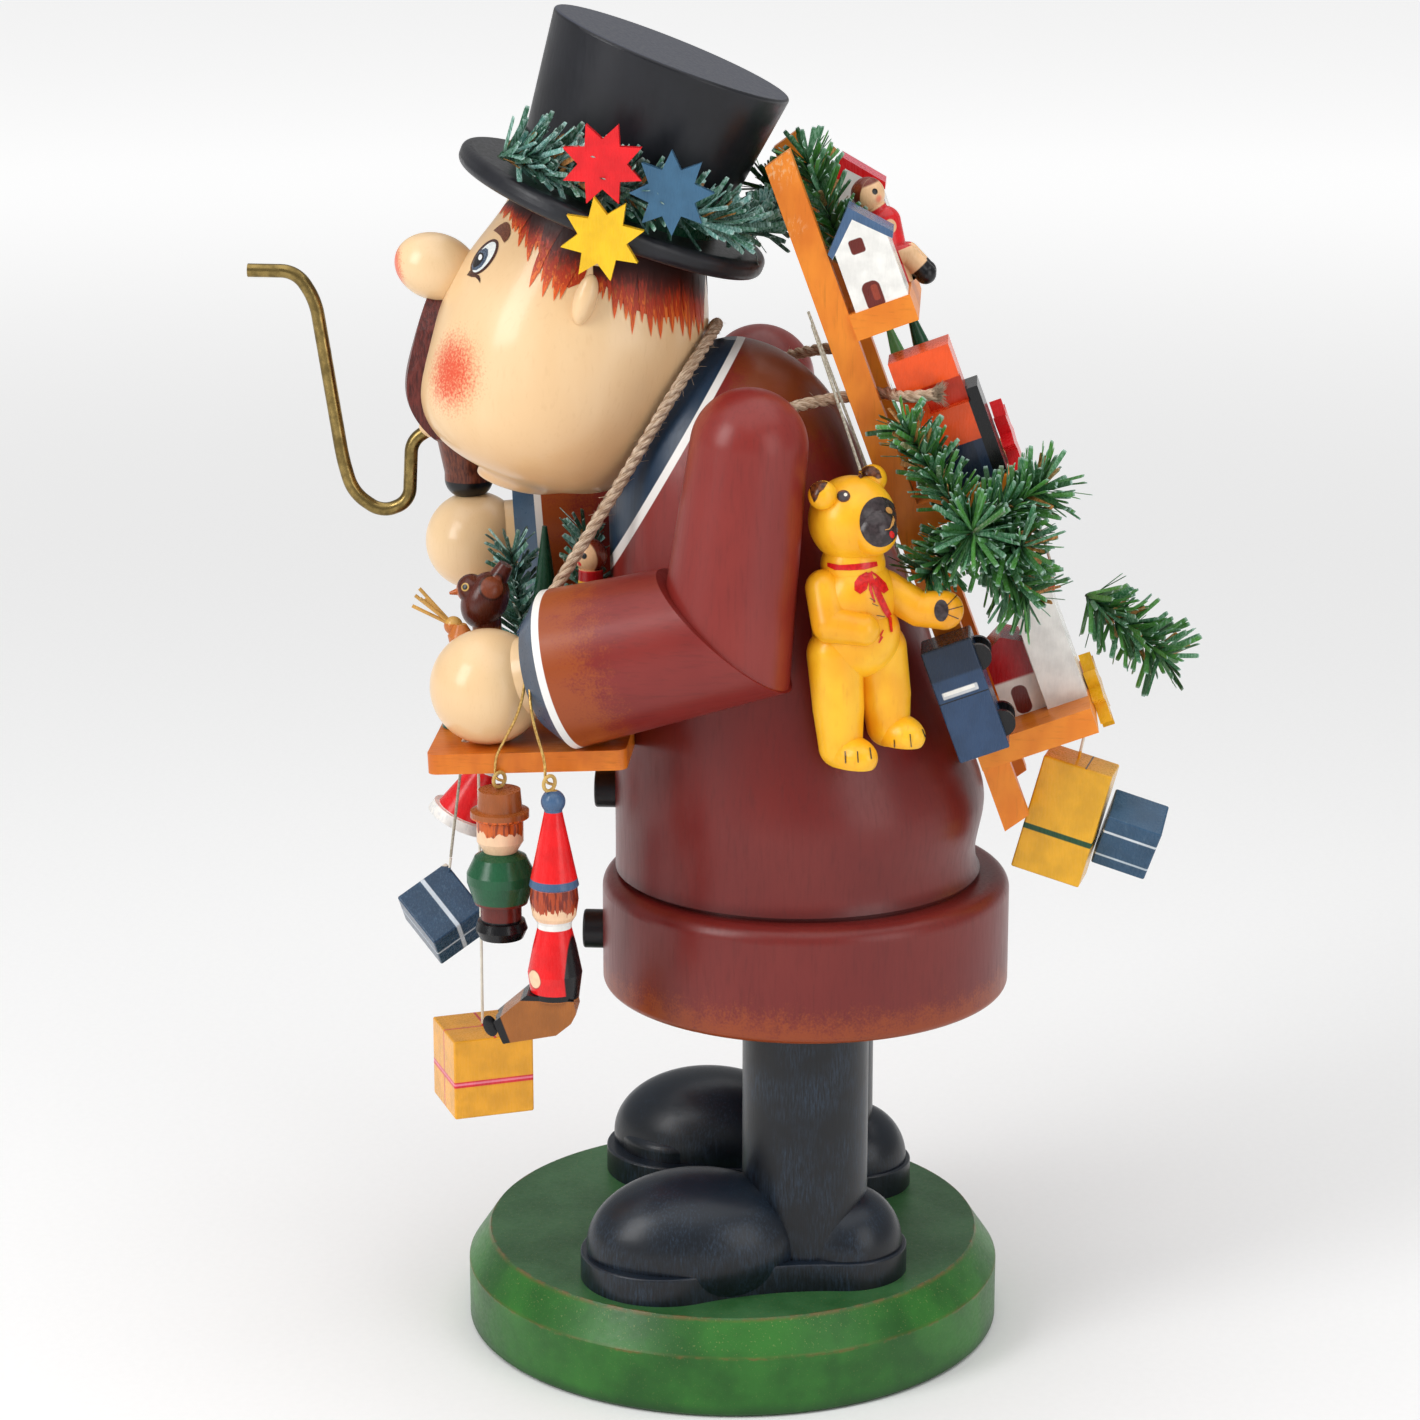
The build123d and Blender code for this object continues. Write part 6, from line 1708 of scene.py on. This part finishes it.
green_foliage = needle_finish(
    "green_needles", srgb(22, 70, 30), srgb(74, 142, 50), srgb(58, 118, 76), srgb(164, 204, 176), 0.5)
frosted_foliage = needle_finish(
    "frosted_needles", srgb(18, 58, 42), srgb(50, 108, 78), srgb(92, 148, 138), srgb(176, 212, 206), 1.0)
NEEDLE_TREE, NEEDLE_SOCKETS = needles_on_wire()
NEEDLE = needle_mesh(green_foliage)
HAT_STEMS = (
    ((
        (29.0, -27.0, 4.2), (30.8, -20.0, 6.2), (31.0, 6.0, 6.2), (29.5, 16.0, 6.2), (24.2, 26.2, 6.2),
    ), 11.5, 330),
    (((28.5, -28.0, 3.0), (30.6, -18.0, 3.6), (31.2, 2.0, 3.6)), 7.5, 130),
    (((24.2, 26.2, 6.2), (20.0, 30.0, 6.0), (10.0, 35.0, 7.5), (2.0, 36.0, 9.0)), 9.4, 170),
)
RACK_STEMS = (
    (((6.5, 10.6, 140.0), (6.5, 9.6, 168.0)), 10.0, 170),
    (((0.0, 5.0, 158.0), (-7.0, -3.0, 163.0)), 9.0, 80),
    (((33.0, 17.0, 80.0), (32.0, 12.0, 104.0)), 9.5, 190),
    (((33.0, 22.0, 76.0), (34.0, 38.0, 80.0)), 12.0, 150),
    (((32.5, 20.0, 72.0), (32.0, 26.0, 55.0)), 11.5, 140),
    (((34.5, 15.0, 74.0), (36.0, 5.0, 69.0)), 10.0, 90),
    (((27.0, 18.0, 77.0), (34.0, 18.5, 76.0), (42.0, 19.5, 76.5)), 12.0, 150),
    (((28.0, 22.0, 72.0), (34.0, 25.0, 70.0), (40.0, 29.0, 69.0)), 11.5, 110),
    (((-5.0, 37.0, 43.0), (-4.0, 50.0, 22.0)), 11.0, 190),
)
TRAY_STEMS = (
    (((1.4, -35.4, 163.0), (1.8, -36.4, 204.0)), 8.0, 200),
    (((-12.0, -52.0, 163.0), (-9.0, -56.0, 196.0)), 8.0, 170),
)
hat_stems = stems_of(hat_place, HAT_STEMS)
rack_stems = stems_of(rack_place, RACK_STEMS)
evergreen("hat_sprig_needles", hat_stems, HAT_AXIS * 2.0, frosted_foliage, 11, "hat_sprig")
evergreen("rack_sprig_needles", rack_stems, (0.15, 0.2, 0.5), green_foliage, 12, "rack_sprigs")
evergreen("tray_sprig_needles", TRAY_STEMS, (0.1, 0, 0.5), frosted_foliage, 13, "tray_sprigs")


# Studio
def studio():
    """The camera, an even pale surround, three lamps and the floor."""
    camera_data = bpy.data.cameras.new("camera")
    camera_data.lens = LENS
    camera_data.sensor_width = SENSOR
    camera_data.clip_start = 0.05
    camera_data.clip_end = 20.0
    camera = bpy.data.objects.new("camera", camera_data)
    bpy.context.scene.collection.objects.link(camera)
    turn = Matrix((RIGHT, UP, -LOOK)).transposed()
    camera.matrix_world = Matrix.Translation(EYE) @ turn.to_4x4()
    bpy.context.scene.camera = camera

    world = bpy.data.worlds.new("studio")
    world.use_nodes = True
    background = world.node_tree.nodes["Background"]
    background.inputs["Color"].default_value = (1.0, 1.0, 1.0, 1.0)
    background.inputs["Strength"].default_value = 0.38
    bpy.context.scene.world = world
    bpy.context.scene.view_settings.view_transform = "Standard"

    softbox("key_left", (0.75, -0.95, 0.85), (0, 0, 0.18), 0.5, 0.9, 9.0)
    softbox("fill_right", (0.9, 1.0, 0.55), (0, 0, 0.16), 0.7, 0.9, 4.0)
    softbox("top", (0.1, 0.1, 1.9), (0, 0, 0.15), 2.6, 2.6, 26.0)
    floor()


def softbox(name, place, aim, width, height, power):
    """A rectangular lamp in metres and watts, turned towards its aim."""
    data = bpy.data.lights.new(name, "AREA")
    data.shape = "RECTANGLE"
    data.size = width
    data.size_y = height
    data.energy = power
    lamp = bpy.data.objects.new(name, data)
    bpy.context.scene.collection.objects.link(lamp)
    lamp.location = place
    lamp.rotation_euler = (Vector(aim) - Vector(place)).to_track_quat("-Z", "Y").to_euler()
    lamp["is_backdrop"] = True


def floor():
    """Matt white paper, a little brighter far from the object."""
    reach = 14.0
    just_below = -0.0002
    bright_from, bright_at = 500, 2600
    corners = [(-reach, -reach, 0), (reach, -reach, 0), (reach, reach, 0), (-reach, reach, 0)]
    mesh = bpy.data.meshes.new("floor")
    mesh.from_pydata(corners, [], [(0, 1, 2, 3)])
    sheet = bpy.data.objects.new("floor", mesh)
    bpy.context.scene.collection.objects.link(sheet)
    sheet.location = (0, 0, just_below)
    paper = Paint("floor_paper", (0.92, 0.92, 0.92, 1.0), 0.9, specular=0.1)
    grain = paper.ramp(paper.noise(2.0, (1, 1, 1), 2.0), 0.3, 0.7)
    paper.colour(paper.mix(grain, (0.915, 0.915, 0.915, 1.0), (0.925, 0.925, 0.925, 1.0)))
    paper.shader.inputs["Emission Color"].default_value = (1, 1, 1, 1)
    sweep = paper.ramp(paper.distance((0, 0, 0)), bright_from, bright_at, 0.0, 0.52)
    paper.link(sweep, paper.shader.inputs["Emission Strength"])
    mesh.materials.append(paper.material)
    sheet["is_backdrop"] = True


studio()

# The dressed box, round every shown piece, in metres
bpy.context.view_layer.update()
low, high = [1e9] * 3, [-1e9] * 3
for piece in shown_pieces():
    for corner in piece.bound_box:
        place = piece.matrix_world @ Vector(corner)
        for axis in range(3):
            low[axis] = min(low[axis], place[axis])
            high[axis] = max(high[axis], place[axis])
